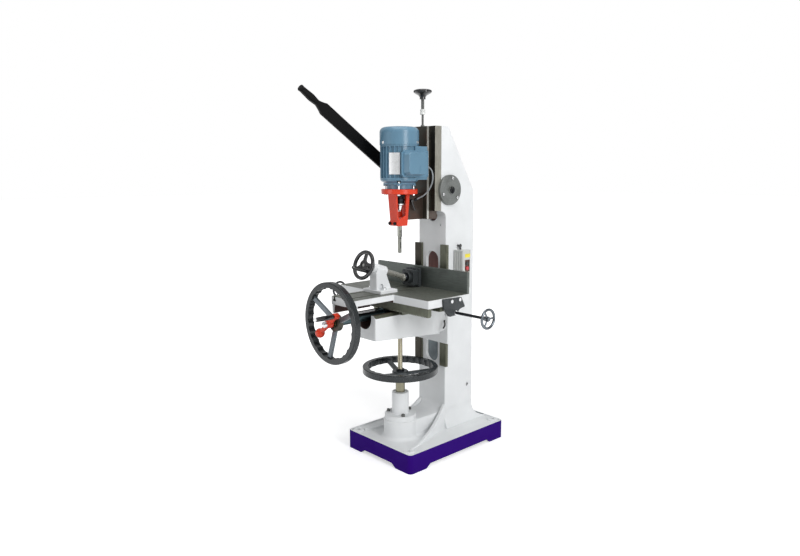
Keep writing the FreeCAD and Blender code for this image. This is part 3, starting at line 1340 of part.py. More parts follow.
def scalloped_ring(inner_r, low, high):
    """Inside of the rim with shallow finger hollows, as a cutting tool."""
    step = 2 * math.pi / RIM_LOBES
    points = []
    for i in range(RIM_LOBES):
        mid = (i - 0.5) * step
        end = i * step
        via = ((inner_r + RIM_LOBE_DEPTH) * math.cos(mid), (inner_r + RIM_LOBE_DEPTH) * math.sin(mid))
        points.append((inner_r * math.cos(end), inner_r * math.sin(end), via))
    return prism(points, "xy", low, high)


def large_wheel(bore_r):
    """Three-spoke handwheel about Z. The rim's front face is at z = 0, the hub lies behind it."""
    r = WHEEL_R
    inner = WHEEL_R - RIM_RADIAL
    rim = turned([(inner - 4, -RIM_AXIAL), (r, -RIM_AXIAL, RIM_FILLET), (r, 0, RIM_FILLET),
                  (inner - 4, 0)])
    rim = rim.cut(scalloped_ring(inner, -RIM_AXIAL - 1, 1))
    hub_face = -HUB_SET
    hub_back = hub_face - HUB_LEN
    hub = turned([(0, hub_back), (WHEEL_HUB_R - 2, hub_back), (WHEEL_HUB_R, hub_back + 2),
                  (WHEEL_HUB_R, hub_face - 3), (WHEEL_HUB_R - 3, hub_face), (0, hub_face)])
    spokes = []
    reach = inner + 8
    for i in range(3):
        side = [(WHEEL_HUB_R - 12, hub_back + 6), (reach, -RIM_AXIAL / 2 - SPOKE_T / 2),
                (reach, -RIM_AXIAL / 2 + SPOKE_T / 2), (WHEEL_HUB_R - 12, hub_back + 6 + SPOKE_T)]
        spoke = prism(side, "xz", -SPOKE_W / 2, SPOKE_W / 2)
        spoke = spoke.makeFillet(3, [e for e in spoke.Edges if e.BoundBox.XLength > 60])
        spoke.rotate(Vector(0, 0, 0), Vector(0, 0, 1), 120 * i)
        spokes.append(spoke)
    return join([rim, hub] + spokes).cut(cylinder((0, 0, hub_back - 1), (0, 0, 1), bore_r, HUB_LEN + 30))


def lift_wheel():
    wheel = large_wheel(LIFT_NUT_R - 3)
    wheel.rotate(Vector(0, 0, 0), Vector(0, 0, 1), LIFT_WHEEL_TURN)
    wheel.translate(Vector(0, AXIS_Y, LIFT_WHEEL_TOP))
    return wheel


def lift_nut():
    """Bronze nut sleeve that stands on the pillar, with a spigot below and the wheel's seat above."""
    hub_low = LIFT_WHEEL_TOP - HUB_SET - HUB_LEN
    body = turned([(SCREW_R + RUN, PILLAR_TOP - LIFT_SPIGOT), (LIFT_SPIGOT_R, PILLAR_TOP - LIFT_SPIGOT),
                   (LIFT_SPIGOT_R, PILLAR_TOP + GAP), (LIFT_NUT_R, PILLAR_TOP + GAP), (LIFT_NUT_R, hub_low),
                   (LIFT_NUT_R - 3, hub_low), (LIFT_NUT_R - 3, LIFT_NUT_TOP),
                   (SCREW_R + RUN, LIFT_NUT_TOP)])
    body.translate(Vector(0, AXIS_Y, 0))
    return body


def elevating_screw():
    top = knee_floor(AXIS_Y) + 30
    screw = turned([(0, SCREW_LOW), (SCREW_R - 2, SCREW_LOW), (SCREW_R, SCREW_LOW + 2),
                    (SCREW_R, top), (0, top)])
    screw.translate(Vector(0, AXIS_Y, 0))
    return screw


# Knee ------------------------------------------------------------------------------------------

def knee_floor(y):
    """Height of the knee's underside at one depth."""
    share = (y - KNEE_FRONT) / (KNEE_PLATE_Y - KNEE_FRONT)
    return KNEE_LOW_FRONT + share * (KNEE_LOW_BACK - KNEE_LOW_FRONT)


def knee_section():
    """Cross-section of the beam: bevelled flat ways each side of the round trough."""
    lip = TROUGH_Z
    return [(-KNEE_HALF, 0), (KNEE_HALF, 0), (KNEE_HALF, KNEE_SIDE_TOP), (KNEE_TOP_HALF, KNEE_TOP),
            (TROUGH_R, KNEE_TOP), (TROUGH_R, lip), (-TROUGH_R, lip, (0, lip - TROUGH_R)),
            (-TROUGH_R, KNEE_TOP), (-KNEE_TOP_HALF, KNEE_TOP), (-KNEE_HALF, KNEE_SIDE_TOP)]


def knee_plate():
    """Rear plate that bears on the ways, with keepers behind them and flared gussets in front."""
    w = KNEE_PLATE_HALF
    back = KNEE_WAY_FRONT - GAP
    right = [(0, KNEE_PLATE_Z), (w, KNEE_PLATE_Z, 6), (w, KNEE_TOP, 6), (0, KNEE_TOP)]
    plate = prism(right, "xz", KNEE_PLATE_Y, back)
    side_in = KNEE_WAY_OUT + GAP
    cheek = box(side_in, w, KNEE_PLATE_Y + 1, COL_FRONT + GAP + KEEPER_T, KNEE_PLATE_Z, KNEE_KEEPER_TOP)
    keeper = box(COL_HALF + 2, w, COL_FRONT + GAP, COL_FRONT + GAP + KEEPER_T,
                 KNEE_PLATE_Z, KNEE_KEEPER_TOP)
    half = join([plate, cheek, keeper, knee_gusset()])
    return join(both_sides(half))


def knee_gusset():
    """Casting flare from the beam's side to the plate's edge, hollow in plan and curved up below."""
    w = KNEE_PLATE_HALF
    inner = KNEE_HALF - 2
    hollow = (KNEE_HALF + 0.32 * (w - KNEE_HALF), KNEE_PLATE_Y + 0.32 * (GUSSET_Y - KNEE_PLATE_Y))
    plan = [(inner, GUSSET_Y), (KNEE_HALF, GUSSET_Y), (w - 1, KNEE_PLATE_Y, hollow),
            (w - 1, KNEE_PLATE_Y + 1), (inner, KNEE_PLATE_Y + 1)]
    foot = knee_floor(GUSSET_Y) + 8
    sweep = (KNEE_HALF + 0.7 * (w - KNEE_HALF), foot + 0.3 * (GUSSET_Z - foot))
    front = [(inner, foot), (KNEE_HALF, foot), (w, GUSSET_Z, sweep), (w, GUSSET_TOP), (inner, GUSSET_TOP)]
    across = prism(front, "xz", GUSSET_Y - 1, KNEE_PLATE_Y + 2)
    return prism(plan, "xy", foot, GUSSET_TOP).common(across)


def knee():
    """Cantilever knee: beam with trough, hollow underside, screw boss, nut rib and rear plate."""
    back = KNEE_WAY_FRONT - GAP
    beam = prism(knee_section(), "xz", KNEE_FRONT, back)
    below = prism([(KNEE_FRONT - 1, -1), (back + 1, -1), (back + 1, knee_floor(back)),
                   (KNEE_FRONT - 1, knee_floor(KNEE_FRONT))], "yz", -KNEE_HALF - 1, KNEE_HALF + 1)
    beam = beam.cut(below)
    nose = [e for e in beam.Edges if e.BoundBox.YMax < KNEE_FRONT + 1e-6 and e.BoundBox.ZLength > 60]
    beam = beam.makeFillet(6, nose)
    wall = 13.0
    roof = TROUGH_Z - TROUGH_R - wall
    hollow = prism([(KNEE_FRONT + wall, 0), (KNEE_PLATE_Y - wall, 0), (KNEE_PLATE_Y - wall, roof, 12),
                    (KNEE_FRONT + wall, roof, 12)], "yz", -KNEE_HALF + wall, KNEE_HALF - wall)
    boss = cylinder((0, AXIS_Y, knee_floor(AXIS_Y) - 4), (0, 0, 1), KNEE_BOSS_R,
                    roof - knee_floor(AXIS_Y) + 8)
    rib = box(-TROUGH_R, TROUGH_R, NUT_RIB_Y0, NUT_RIB_Y1, TROUGH_Z - TROUGH_R - 2, CROSS_Z + 13)
    rib_clip = cylinder((0, NUT_RIB_Y0 - 1, TROUGH_Z), (0, 1, 0), TROUGH_R + 1, 60)
    rib_clip = rib_clip.fuse(box(-TROUGH_R, TROUGH_R, NUT_RIB_Y0 - 1, NUT_RIB_Y1 + 1, TROUGH_Z, KNEE_TOP))
    body = join([beam.cut(hollow), boss, rib.common(rib_clip), knee_plate()])
    through = prism([(-TROUGH_R, KNEE_TOP + 1), (-TROUGH_R, TROUGH_Z),
                     (TROUGH_R, TROUGH_Z, (0, TROUGH_Z - TROUGH_R)), (TROUGH_R, KNEE_TOP + 1)],
                    "xz", KNEE_PLATE_Y - 1, back + 1)
    seat_top = knee_floor(AXIS_Y) + 30
    screw_seat = cylinder((0, AXIS_Y, KNEE_PLATE_Z), (0, 0, 1), SCREW_R, seat_top - KNEE_PLATE_Z)
    nut = cylinder((0, NUT_RIB_Y0 - 1, CROSS_Z), (0, 1, 0), CROSS_R + RUN, 60)
    hole_x, hole_z = KNEE_HOLE
    lock_hole = cylinder((hole_x, GUSSET_Y, hole_z), (0, 1, 0), 6, KNEE_PLATE_Y - GUSSET_Y + 6)
    return cut(body, [through, screw_seat, nut, lock_hole])


# Saddle, cross feed and table drive ------------------------------------------------------------

def tail_half(z):
    """Half width of the table's dovetail at one height."""
    low = TABLE_TOP - TABLE_T - TAIL_H
    return TAIL_HALF - (z - low) * math.tan(math.radians(TAIL_ANGLE))


def saddle():
    """Cross slide: bevel-lipped underside on the knee, dovetail groove above, bearing boss below."""
    z0 = KNEE_TOP + GAP
    z1 = TABLE_TOP - TABLE_T - GAP
    body = box(-SADDLE_HALF, SADDLE_HALF, SADDLE_Y0, SADDLE_Y1, z0, z1)
    body = body.makeChamfer(3, [e for e in body.Edges if e.BoundBox.ZLength > 20])
    bevel = (KNEE_HALF - KNEE_TOP_HALF) / (KNEE_TOP - KNEE_SIDE_TOP)
    skirt_z = KNEE_SIDE_TOP + 1
    inner = KNEE_HALF + GAP * 1.5
    skirt = [(inner - (z0 - KNEE_SIDE_TOP) * bevel + 1.2, z0), (SADDLE_HALF - 3, z0 + 1),
             (SADDLE_HALF - 3, skirt_z), (inner - (skirt_z - KNEE_SIDE_TOP) * bevel + 1.2, skirt_z)]
    skirts = both_sides(prism(skirt, "xz", SADDLE_Y0 + 3, SADDLE_Y1 - 3))
    groove_low = TABLE_TOP - TABLE_T - TAIL_H - GAP
    low_half = tail_half(groove_low) + 0.4
    high_half = tail_half(z1 + 1) + 0.4
    groove = prism([(TAIL_Y - low_half, groove_low), (TAIL_Y + low_half, groove_low),
                    (TAIL_Y + high_half, z1 + 1), (TAIL_Y - high_half, z1 + 1)],
                   "yz", -SADDLE_HALF - 1, SADDLE_HALF + 1)
    boss = cylinder((0, SADDLE_Y0, CROSS_Z), (0, 1, 0), SADDLE_BOSS_R, SADDLE_BOSS_Y1 - SADDLE_Y0)
    web = box(-SADDLE_BOSS_R, SADDLE_BOSS_R, SADDLE_Y0, SADDLE_BOSS_Y1, CROSS_Z, z0 + 1)
    front = (0, SADDLE_Y0 - 1, CROSS_Z)
    sleeve_bore = cylinder(front, (0, 1, 0), SLEEVE_R + RUN, SLEEVE_REAR + GAP - SADDLE_Y0 + 1)
    screw_bore = cylinder(front, (0, 1, 0), CROSS_R + RUN, SADDLE_BOSS_Y1 - SADDLE_Y0 + 3)
    return cut(join([body.cut(groove)] + skirts + [boss, web]), [sleeve_bore, screw_bore])


def cross_screw():
    """Cross feed screw with its thrust collar, crank seat, washer and acorn nut."""
    front = CRANK_FACE - CRANK_HUB
    nose = front - 20
    body = turned([(0, 0), (CROSS_R - 1, 0), (CROSS_R, 2), (CROSS_R, CROSS_REAR - nose - 20 - CRANK_HUB),
                   (CROSS_SEAT_R, CROSS_REAR - nose - 20 - CRANK_HUB), (CROSS_SEAT_R, CROSS_REAR - front),
                   (14, CROSS_REAR - front), (14, CROSS_REAR - front + 9), (9, CROSS_REAR - front + 15),
                   (0, CROSS_REAR - nose)])
    body = placed(body, (0, CROSS_REAR, CROSS_Z), (0, -1, 0))
    collar_y = SADDLE_BOSS_Y1 + GAP
    collar = cylinder((0, collar_y, CROSS_Z), (0, 1, 0), THRUST_COLLAR_R, 10)
    washer = cylinder((0, CRANK_FACE, CROSS_Z), (0, 1, 0), CRANK_HUB_R + 3, 6)
    return join([body, collar, washer])


def balanced_crank():
    """Crank with a grip boss on one arm and a counterweight ball on the other."""
    y1 = CRANK_FACE
    y0 = y1 - CRANK_HUB
    mid = y1 - CRANK_HUB / 2
    hub = turned([(0, 0), (CRANK_HUB_R - 2, 0), (CRANK_HUB_R, 4, 3), (CRANK_HUB_R, CRANK_HUB - 8, 8),
                  (CRANK_HUB_R - 6, CRANK_HUB), (0, CRANK_HUB)])
    hub = placed(hub, (0, y1, CROSS_Z), (0, -1, 0))
    to_grip = Vector(CRANK_GRIP_X, 0, CRANK_GRIP_Z)
    to_ball = Vector(CRANK_BALL_X, 0, CRANK_BALL_Z)
    grip_arm = cone((0, mid, CROSS_Z), tuple(to_grip), 14, 10, to_grip.Length)
    ball_arm = cone((0, mid, CROSS_Z), tuple(to_ball), 14, 10, to_ball.Length)
    boss = cylinder((CRANK_GRIP_X, mid - 13, CROSS_Z + CRANK_GRIP_Z), (0, 1, 0), 14, 26)
    boss = boss.makeFillet(3, boss.Edges[0:1] + boss.Edges[2:3])
    weight = ball((CRANK_BALL_X, mid, CROSS_Z + CRANK_BALL_Z), CRANK_BALL_R, tuple(to_ball))
    pin = cylinder((CRANK_GRIP_X, mid - 13 - CRANK_GRIP_LEN + 6, CROSS_Z + CRANK_GRIP_Z), (0, 1, 0), 4,
                   CRANK_GRIP_LEN + 2)
    shape = join([hub, grip_arm, ball_arm, boss, weight, pin])
    return shape.cut(cylinder((0, y0 - 1, CROSS_Z), (0, 1, 0), CROSS_SEAT_R, CRANK_HUB + 2))


def crank_grip():
    """Barrel grip that turns on its pin."""
    length = CRANK_GRIP_LEN
    r = CRANK_GRIP_R
    body = turned([(4 + RUN, 0), (r - 2.5, 0), (r, 6, 5), (r + 0.8, length * 0.5, 90),
                   (r - 0.8, length - 8, 14), (r - 4, length, 4), (0, length), (0, length - 5),
                   (4 + RUN, length - 5)])
    start = (CRANK_GRIP_X, CRANK_FACE - CRANK_HUB / 2 - 13 - GAP, CROSS_Z + CRANK_GRIP_Z)
    return placed(body, start, (0, -1, 0))


def table_wheel():
    wheel = large_wheel(SLEEVE_R)
    wheel.rotate(Vector(0, 0, 0), Vector(0, 0, 1), TABLE_WHEEL_TURN)
    return placed(wheel, (0, WHEEL_FRONT, CROSS_Z), (0, -1, 0))


def table_pinion():
    """Sleeve over the cross screw, with the table pinion near its rear end."""
    front = WHEEL_FRONT + HUB_SET
    sleeve = cylinder((0, front, CROSS_Z), (0, 1, 0), SLEEVE_R, SLEEVE_REAR - front)
    wheel = gear(TABLE_MODULE, TABLE_PINION_TEETH, TABLE_RACK_Y1 - TABLE_RACK_Y0)
    teeth = placed(wheel, (0, 0, 0), (0, 1, 0))
    teeth.translate(Vector(0, TABLE_RACK_Y0, CROSS_Z))
    bore = cylinder((0, front - 1, CROSS_Z), (0, 1, 0), CROSS_R + RUN, SLEEVE_REAR - front + 2)
    return join([sleeve, teeth]).cut(bore)


# Table -----------------------------------------------------------------------------------------

def tslot(x):
    half = TSLOT_W / 2
    foot = TSLOT_FOOT_W / 2
    top = TABLE_TOP + 1
    neck = TABLE_TOP - TSLOT_DEPTH + TSLOT_FOOT_H
    low = TABLE_TOP - TSLOT_DEPTH
    points = [(x - half, top), (x - half, neck), (x - foot, neck), (x - foot, low), (x + foot, low),
              (x + foot, neck), (x + half, neck), (x + half, top)]
    return prism(points, "xz", EXT_Y - 1, FENCE_Y0)


def table():
    """T-shaped table with two T-slots, a dovetail below, and relieved underside."""
    low = TABLE_TOP - TABLE_T
    plan = [(-EXT_HALF, EXT_Y, 4), (EXT_HALF, EXT_Y, 4), (EXT_HALF, TABLE_Y0, 6), (TABLE_HALF, TABLE_Y0, 4),
            (TABLE_HALF, TABLE_Y1, 2), (-TABLE_HALF, TABLE_Y1, 2), (-TABLE_HALF, TABLE_Y0, 4),
            (-EXT_HALF, TABLE_Y0, 6)]
    plate = prism(plan, "xy", low, TABLE_TOP)
    top_edges = [e for e in plate.Edges if e.BoundBox.ZMin > TABLE_TOP - 1e-6]
    plate = plate.makeChamfer(1.5, top_edges)
    tail_z = low - TAIL_H
    neck = tail_half(low)
    tail = prism([(TAIL_Y - neck, low + 1), (TAIL_Y - neck, low), (TAIL_Y - TAIL_HALF, tail_z),
                  (TAIL_Y + TAIL_HALF, tail_z), (TAIL_Y + neck, low), (TAIL_Y + neck, low + 1)],
                 "yz", -TABLE_HALF + 4, TABLE_HALF - 4)
    relief = box(-EXT_HALF + SKIRT_T, EXT_HALF + 1, EXT_Y + APRON_T, TABLE_Y0 - 1,
                 low - 1, TABLE_TOP - EXT_T)
    skirt = box(-EXT_HALF, -EXT_HALF + SKIRT_T, EXT_Y + 6, TABLE_RACK_Y0 - 5, SKIRT_LOW, low + 1)
    skirt = skirt.makeFillet(3, [e for e in skirt.Edges if e.BoundBox.ZMax < SKIRT_LOW + 1e-6])
    holes = [cylinder((sx * (TABLE_HALF + 1), y, z), (-sx, 0, 0), 4, 16)
             for sx in (-1, 1) for y, z in END_BOLTS]
    for x in FENCE_BOLT_X:
        below = (x, FENCE_Y0 + FENCE_T / 2, low - 1)
        holes += [cylinder(below, (0, 0, 1), 3.5, TABLE_T + 2), cylinder(below, (0, 0, 1), 6, 8)]
    return cut(join([plate.cut(relief), tail, skirt]), [tslot(x) for x in TSLOT_X] + holes)


def fence():
    plate = prism([(-TABLE_HALF, TABLE_TOP), (TABLE_HALF, TABLE_TOP), (TABLE_HALF, FENCE_TOP, 3),
                   (-TABLE_HALF, FENCE_TOP, 3)], "xz", FENCE_Y0, TABLE_Y1)
    top = [e for e in plate.Edges if e.BoundBox.XLength > 200 and e.BoundBox.ZMin > FENCE_TOP - 1]
    plate = plate.makeChamfer(1.2, top)
    return plate.cut([cylinder((x, FENCE_Y0 + FENCE_T / 2, TABLE_TOP - 1), (0, 0, 1), 3.5, 21)
                      for x in FENCE_BOLT_X])


def end_plate():
    points = [(END_PLATE_FRONT, TABLE_TOP - 3, 3), (END_PLATE_STEP, STOP_Z + 25, 6),
              (STOP_Y - 30, STOP_Z - 17, 7), (STOP_Y + 13, STOP_Z - 14, 7),
              (STOP_Y + 36, STOP_Z + 11, 10), (END_PLATE_HEEL, STOP_Z + 19, 4),
              (END_PLATE_WAIST, STOP_Z + 35, 10), (END_PLATE_BACK, TABLE_TOP - 7, 3)]
    plate = prism(points, "yz", TABLE_HALF, TABLE_HALF + END_PLATE_T)
    outer = TABLE_HALF + END_PLATE_T
    plate = plate.makeFillet(1.5, [e for e in plate.Edges if e.BoundBox.XMin > outer - 1e-6])
    holes = [cylinder((TABLE_HALF - 1, y, z), (1, 0, 0), 4, END_PLATE_T + 2) for y, z in END_BOLTS]
    holes.append(cylinder((TABLE_HALF - 1, STOP_Y, STOP_Z), (1, 0, 0), STOP_ROD_R + RUN, END_PLATE_T + 2))
    return plate.cut(holes)


def end_plates():
    return group(both_sides(end_plate()))


def table_rack():
    low = TABLE_TOP - TABLE_T
    pitch_line = CROSS_Z + TABLE_MODULE * TABLE_PINION_TEETH / 2
    points = rack(TABLE_MODULE, -TABLE_HALF + 2, TABLE_HALF - 2, pitch_line, low, 0.0, -1)
    return prism(points, "xz", TABLE_RACK_Y0, TABLE_RACK_Y1)


def table_screws():
    """Hexagon bolts of the end plates and the screws that hold the fence from below."""
    low = TABLE_TOP - TABLE_T
    screws = []
    for sx in (-1, 1):
        for y, z in END_BOLTS:
            shank = cylinder((sx * (TABLE_HALF - 14), y, z), (sx, 0, 0), 4, END_PLATE_T + 14)
            head = hex_head((sx * (TABLE_HALF + END_PLATE_T), y, z), (sx, 0, 0), 15, 6)
            screws.append(join([shank, head]))
    for x in FENCE_BOLT_X:
        y = FENCE_Y0 + FENCE_T / 2
        shank = cylinder((x, y, low + 7), (0, 0, 1), 3.5, TABLE_T + 11)
        screws.append(join([shank, cylinder((x, y, low + 2), (0, 0, 1), 5.5, 5)]))
    return group(screws)


# Table stops -----------------------------------------------------------------------------------

def stop_rod():
    """Right length stop: plain rod with a lock nut against the end plate."""
    end = STOP_WHEEL_X - 3
    rod = cylinder((STOP_ROD_TIP, STOP_Y, STOP_Z), (1, 0, 0), STOP_ROD_R, end - STOP_ROD_TIP)
    rod = rod.makeChamfer(1, [e for e in rod.Edges if e.BoundBox.XMax < STOP_ROD_TIP + 1e-6])
    nut = hex_head((TABLE_HALF + END_PLATE_T + GAP, STOP_Y, STOP_Z), (1, 0, 0), 19, 10)
    collar_at = STOP_WHEEL_X - STOP_HUB - GAP
    collar = cylinder((collar_at - 5, STOP_Y, STOP_Z), (1, 0, 0), 9, 5)
    return join([rod.cut(cylinder((collar_at, STOP_Y, STOP_Z), (1, 0, 0), 30, 60)), nut, collar,
                 cylinder((collar_at, STOP_Y, STOP_Z), (1, 0, 0), 4, STOP_HUB - 6)])


def stop_wheel():
    """Small chromed wheel with a round rim and three spokes."""
    rim = Part.makeTorus(STOP_WHEEL_R - STOP_RIM_R, STOP_RIM_R, Vector(0, 0, -STOP_RIM_R))
    hub = turned([(0, -STOP_HUB), (8, -STOP_HUB), (11, -STOP_HUB + 5), (12, -6), (10, 0), (0, 0)])
    spokes = []
    for i in range(3):
        angle = math.radians(90 + 120 * i)
        direction = (math.cos(angle), math.sin(angle), 0)
        spokes.append(cylinder((0, 0, -STOP_RIM_R - 2), direction, 4, STOP_WHEEL_R - STOP_RIM_R))
    bore = cylinder((0, 0, -STOP_HUB - 1), (0, 0, 1), 4 + RUN, STOP_HUB - 4)
    wheel = join([rim, hub] + spokes).cut(bore)
    return placed(wheel, (STOP_WHEEL_X, STOP_Y, STOP_Z), (1, 0, 0))


# Vise ------------------------------------------------------------------------------------------

def vise_point(s, out=0.0, down=0.0):
    """Point on the vise screw's axis, s in front of the ball, with offsets across the axis."""
    angle = math.radians(VISE_ANGLE)
    y = BALL_Y - s * math.cos(angle) - down * math.sin(angle)
    z = BALL_Z + s * math.sin(angle) - down * math.cos(angle)
    return (VISE_X + out, y, z)


def vise_direction():
    """Unit vector from the ball towards the operator, along the screw."""
    angle = math.radians(VISE_ANGLE)
    return (0, -math.cos(angle), math.sin(angle))


def vise_bolt_places():
    return [(x, VISE_BOLT_Y) for x in TSLOT_X]


def vise_bracket():
    """Vise bracket on the T-slots: foot plate, upright with sloped back, boss and bolt arches."""
    z0 = TABLE_TOP
    z1 = TABLE_TOP + BRACKET_PLATE_T
    y0, y1 = BRACKET_PLATE_Y
    foot = rounded_block(VISE_X - BRACKET_PLATE_HALF, VISE_X + BRACKET_PLATE_HALF, y0, y1, z0, z1, 5)
    foot = foot.makeFillet(3, [e for e in foot.Edges if e.BoundBox.ZMin > z1 - 1e-6])
    s0, s1 = VISE_BOSS_S
    boss = cylinder(vise_point(s0), vise_direction(), VISE_BOSS_R, s1 - s0)
    boss = boss.makeFillet(3, [e for e in boss.Edges if e.Closed and e.Length > 2])
    top_front = vise_point(s1 - 8)
    top_back = vise_point(s0 + 10)
    side = [(y0 + 8, z0 + 2), (y1 - 6, z0 + 2), (y1 - 6, z1 + 1), (top_back[1] - 2, top_back[2] - 8, 20),
            (top_back[1] - 14, top_back[2] + 6), (top_front[1] + 6, top_front[2]),
            (y0 + 8, top_front[2] - 26)]
    upright = prism(side, "yz", VISE_X - UPRIGHT_HALF, VISE_X + UPRIGHT_HALF)
    upright = upright.makeFillet(6, [e for e in upright.Edges if e.BoundBox.XLength < 1e-6
                                     and e.BoundBox.ZLength > 40])
    arches = []
    for x, y in vise_bolt_places():
        arch = [(y - 13, z1), (y + 13, z1), (y + 13, z1 + 26, 12.9), (y - 13, z1 + 26, 12.9)]
        side_x = 1 if x > VISE_X else -1
        near = VISE_X + side_x * (UPRIGHT_HALF - 12)
        far = VISE_X + side_x * (UPRIGHT_HALF + 30)
        arches.append(prism(arch, "yz", min(near, far), max(near, far)))
    bore = cylinder(vise_point(s0 - 1), vise_direction(), QUILL_R + RUN, s1 - s0 + 1 - VISE_END_WALL)
    screw = cylinder(vise_point(s0), vise_direction(), VISE_SCREW_R + RUN, s1 - s0 + 20)
    holes = [cylinder((x, y, z0 - 1), (0, 0, 1), 5, 60) for x, y in vise_bolt_places()]
    body = cut(join([foot, upright, boss]), arches + [bore, screw] + holes)
    bolts = []
    for x, y in vise_bolt_places():
        nut = hex_head((x, y, z1), (0, 0, 1), 17, 9)
        stud = cylinder((x, y, TABLE_TOP - TSLOT_DEPTH + 1), (0, 0, 1), 5,
                        TSLOT_DEPTH + BRACKET_PLATE_T + 12)
        foot_half = TSLOT_FOOT_W / 2 - 1
        head = box(x - foot_half, x + foot_half, y - foot_half, y + foot_half,
                   TABLE_TOP - TSLOT_DEPTH, TABLE_TOP - TSLOT_DEPTH + TSLOT_FOOT_H - 1)
        bolts.append(join([nut, stud, head]))
    return group([body] + bolts)


def vise_screw():
    """Screw that turns in the boss and drives the quill, with its collar and wheel seat."""
    s_boss = VISE_BOSS_S[1]
    start = vise_point(VISE_SCREW_TIP)
    d = vise_direction()
    body = cylinder(start, d, VISE_SCREW_R, VISE_WHEEL_S - 6 - VISE_SCREW_TIP)
    collar = cylinder(vise_point(s_boss + GAP), d, 14, VISE_COLLAR)
    return join([body, collar])


def vise_wheel():
    """Three-spoke handwheel with a dished hub and a pin for its grip."""
    r = VISE_WHEEL_R
    t = VISE_WHEEL_T
    rim = turned([(r - 17, -t, 5), (r, -t, 6), (r, 0, 6), (r - 17, 0, 5)])
    hub_back = -(VISE_WHEEL_S - VISE_BOSS_S[1] - GAP - VISE_COLLAR)
    hub = turned([(0, hub_back), (15, hub_back), (18, -t - 6, 4), (24, -t + 2, 4), (24, -3, 3),
                  (14, -3), (14, -6), (0, -6)])
    spokes = []
    for i in range(3):
        arm = prism([(10, -9), (r - 10, -6), (r - 10, 6), (10, 9)], "xy", -t + 2, -3)
        arm.rotate(Vector(0, 0, 0), Vector(0, 0, 1), VISE_SPOKE_TURN + 120 * i)
        spokes.append(arm)
    wheel = join([rim, hub] + spokes)
    grip_r = math.hypot(VISE_GRIP_OUT, VISE_GRIP_DOWN)
    pin_angle = math.radians(VISE_SPOKE_TURN)
    at = (grip_r * math.cos(pin_angle), grip_r * math.sin(pin_angle))
    pad = cylinder((*at, -t), (0, 0, 1), 10, t)
    pin = cylinder((*at, -4), (0, 0, 1), 3.5, 4 + VISE_GRIP_LEN - 6)
    wheel = join([wheel, pad, pin])
    wheel = wheel.cut(cylinder((0, 0, hub_back - 1), (0, 0, 1), VISE_SCREW_R, -hub_back - 5))
    return in_vise_frame(wheel, VISE_WHEEL_S)


def in_vise_frame(shape, s):
    """Place a shape drawn about +Z on the vise axis: local X is +X, local Y points up the wheel."""
    angle = math.radians(VISE_ANGLE)
    origin = vise_point(s)
    matrix = FreeCAD.Matrix(1, 0, 0, origin[0],
                            0, math.sin(angle), -math.cos(angle), origin[1],
                            0, math.cos(angle), math.sin(angle), origin[2],
                            0, 0, 0, 1)
    return shape.transformed(matrix)


def vise_grip():
    r = VISE_GRIP_R
    length = VISE_GRIP_LEN
    grip = turned([(3.5 + RUN, GAP), (r - 3.5, GAP), (r - 1.5, 5, 4), (r, length * 0.55, 90),
                   (r - 1.5, length - 8, 10), (r - 5, length, 4), (0, length), (0, length - 5),
                   (3.5 + RUN, length - 5)])
    grip.translate(Vector(VISE_GRIP_OUT, -VISE_GRIP_DOWN, 0))
    return in_vise_frame(grip, VISE_WHEEL_S)


def vise_quill():
    """Plain quill, bored for the screw, with a ball at its end."""
    d = vise_direction()
    quill = cylinder(vise_point(0), d, QUILL_R, QUILL_END)
    body = join([quill, ball(vise_point(0), BALL_R)])
    return body.cut(cylinder(vise_point(BALL_R + 4), d, VISE_SCREW_R + RUN, 260))


def vise_jaw():
    """Jaw block with a ball socket, stiffening ribs and four bolts."""
    y0, y1 = JAW_Y
    z0, z1 = JAW_Z
    plate = rounded_plate(y1 - JAW_PLATE_T, y1, z0, z1)
    centre = (VISE_X, BALL_Y, BALL_Z)
    neck = cylinder((VISE_X, BALL_Y + 4, BALL_Z), (0, 1, 0), SOCKET_R, y0 + 12 - BALL_Y - 4)
    neck = neck.makeFillet(3, [e for e in neck.Edges if e.BoundBox.YMax < BALL_Y + 5])
    left = VISE_X - JAW_HALF + 6
    right = VISE_X + JAW_HALF - 6
    body = prism([(left, z0 + 6, 6), (right, z0 + 6, 6), (right, z1 - 6, 6), (left, z1 - 6, 6)],
                 "xz", y0, y1 - JAW_PLATE_T + 1)
    pockets = [rounded_block(VISE_X + sx * 22 - 11, VISE_X + sx * 22 + 11, y0 + 12, y1 - JAW_PLATE_T - 2,
                             z0 + 1, z1 + 1, 3) for sx in (-1, 1)]
    heads = [hex_head((VISE_X + sx * (JAW_HALF - 15), y0, z), (0, -1, 0), 11, 5)
             for sx in (-1, 1) for z in (z0 + 16, z1 - 16)]
    socket = ball(centre, BALL_R + RUN)
    mouth = cone((VISE_X, BALL_Y + 5, BALL_Z), (0, -1, 0), BALL_R, BALL_R + 3, 4)
    return cut(join([plate, body.cut(pockets), neck] + heads), [socket, mouth])


def rounded_plate(y0, y1, z0, z1):
    a = VISE_X - JAW_HALF
    b = VISE_X + JAW_HALF
    return prism([(a, z0, 2), (b, z0, 2), (b, z1, 2), (a, z1, 2)], "xz", y0, y1)


# Writing ---------------------------------------------------------------------------------------

def right_stop_rod():
    return stop_rod()


def right_stop_wheel():
    return stop_wheel()


def left_stop_rod():
    return mirrored_x(stop_rod())


def left_stop_wheel():
    return mirrored_x(stop_wheel())


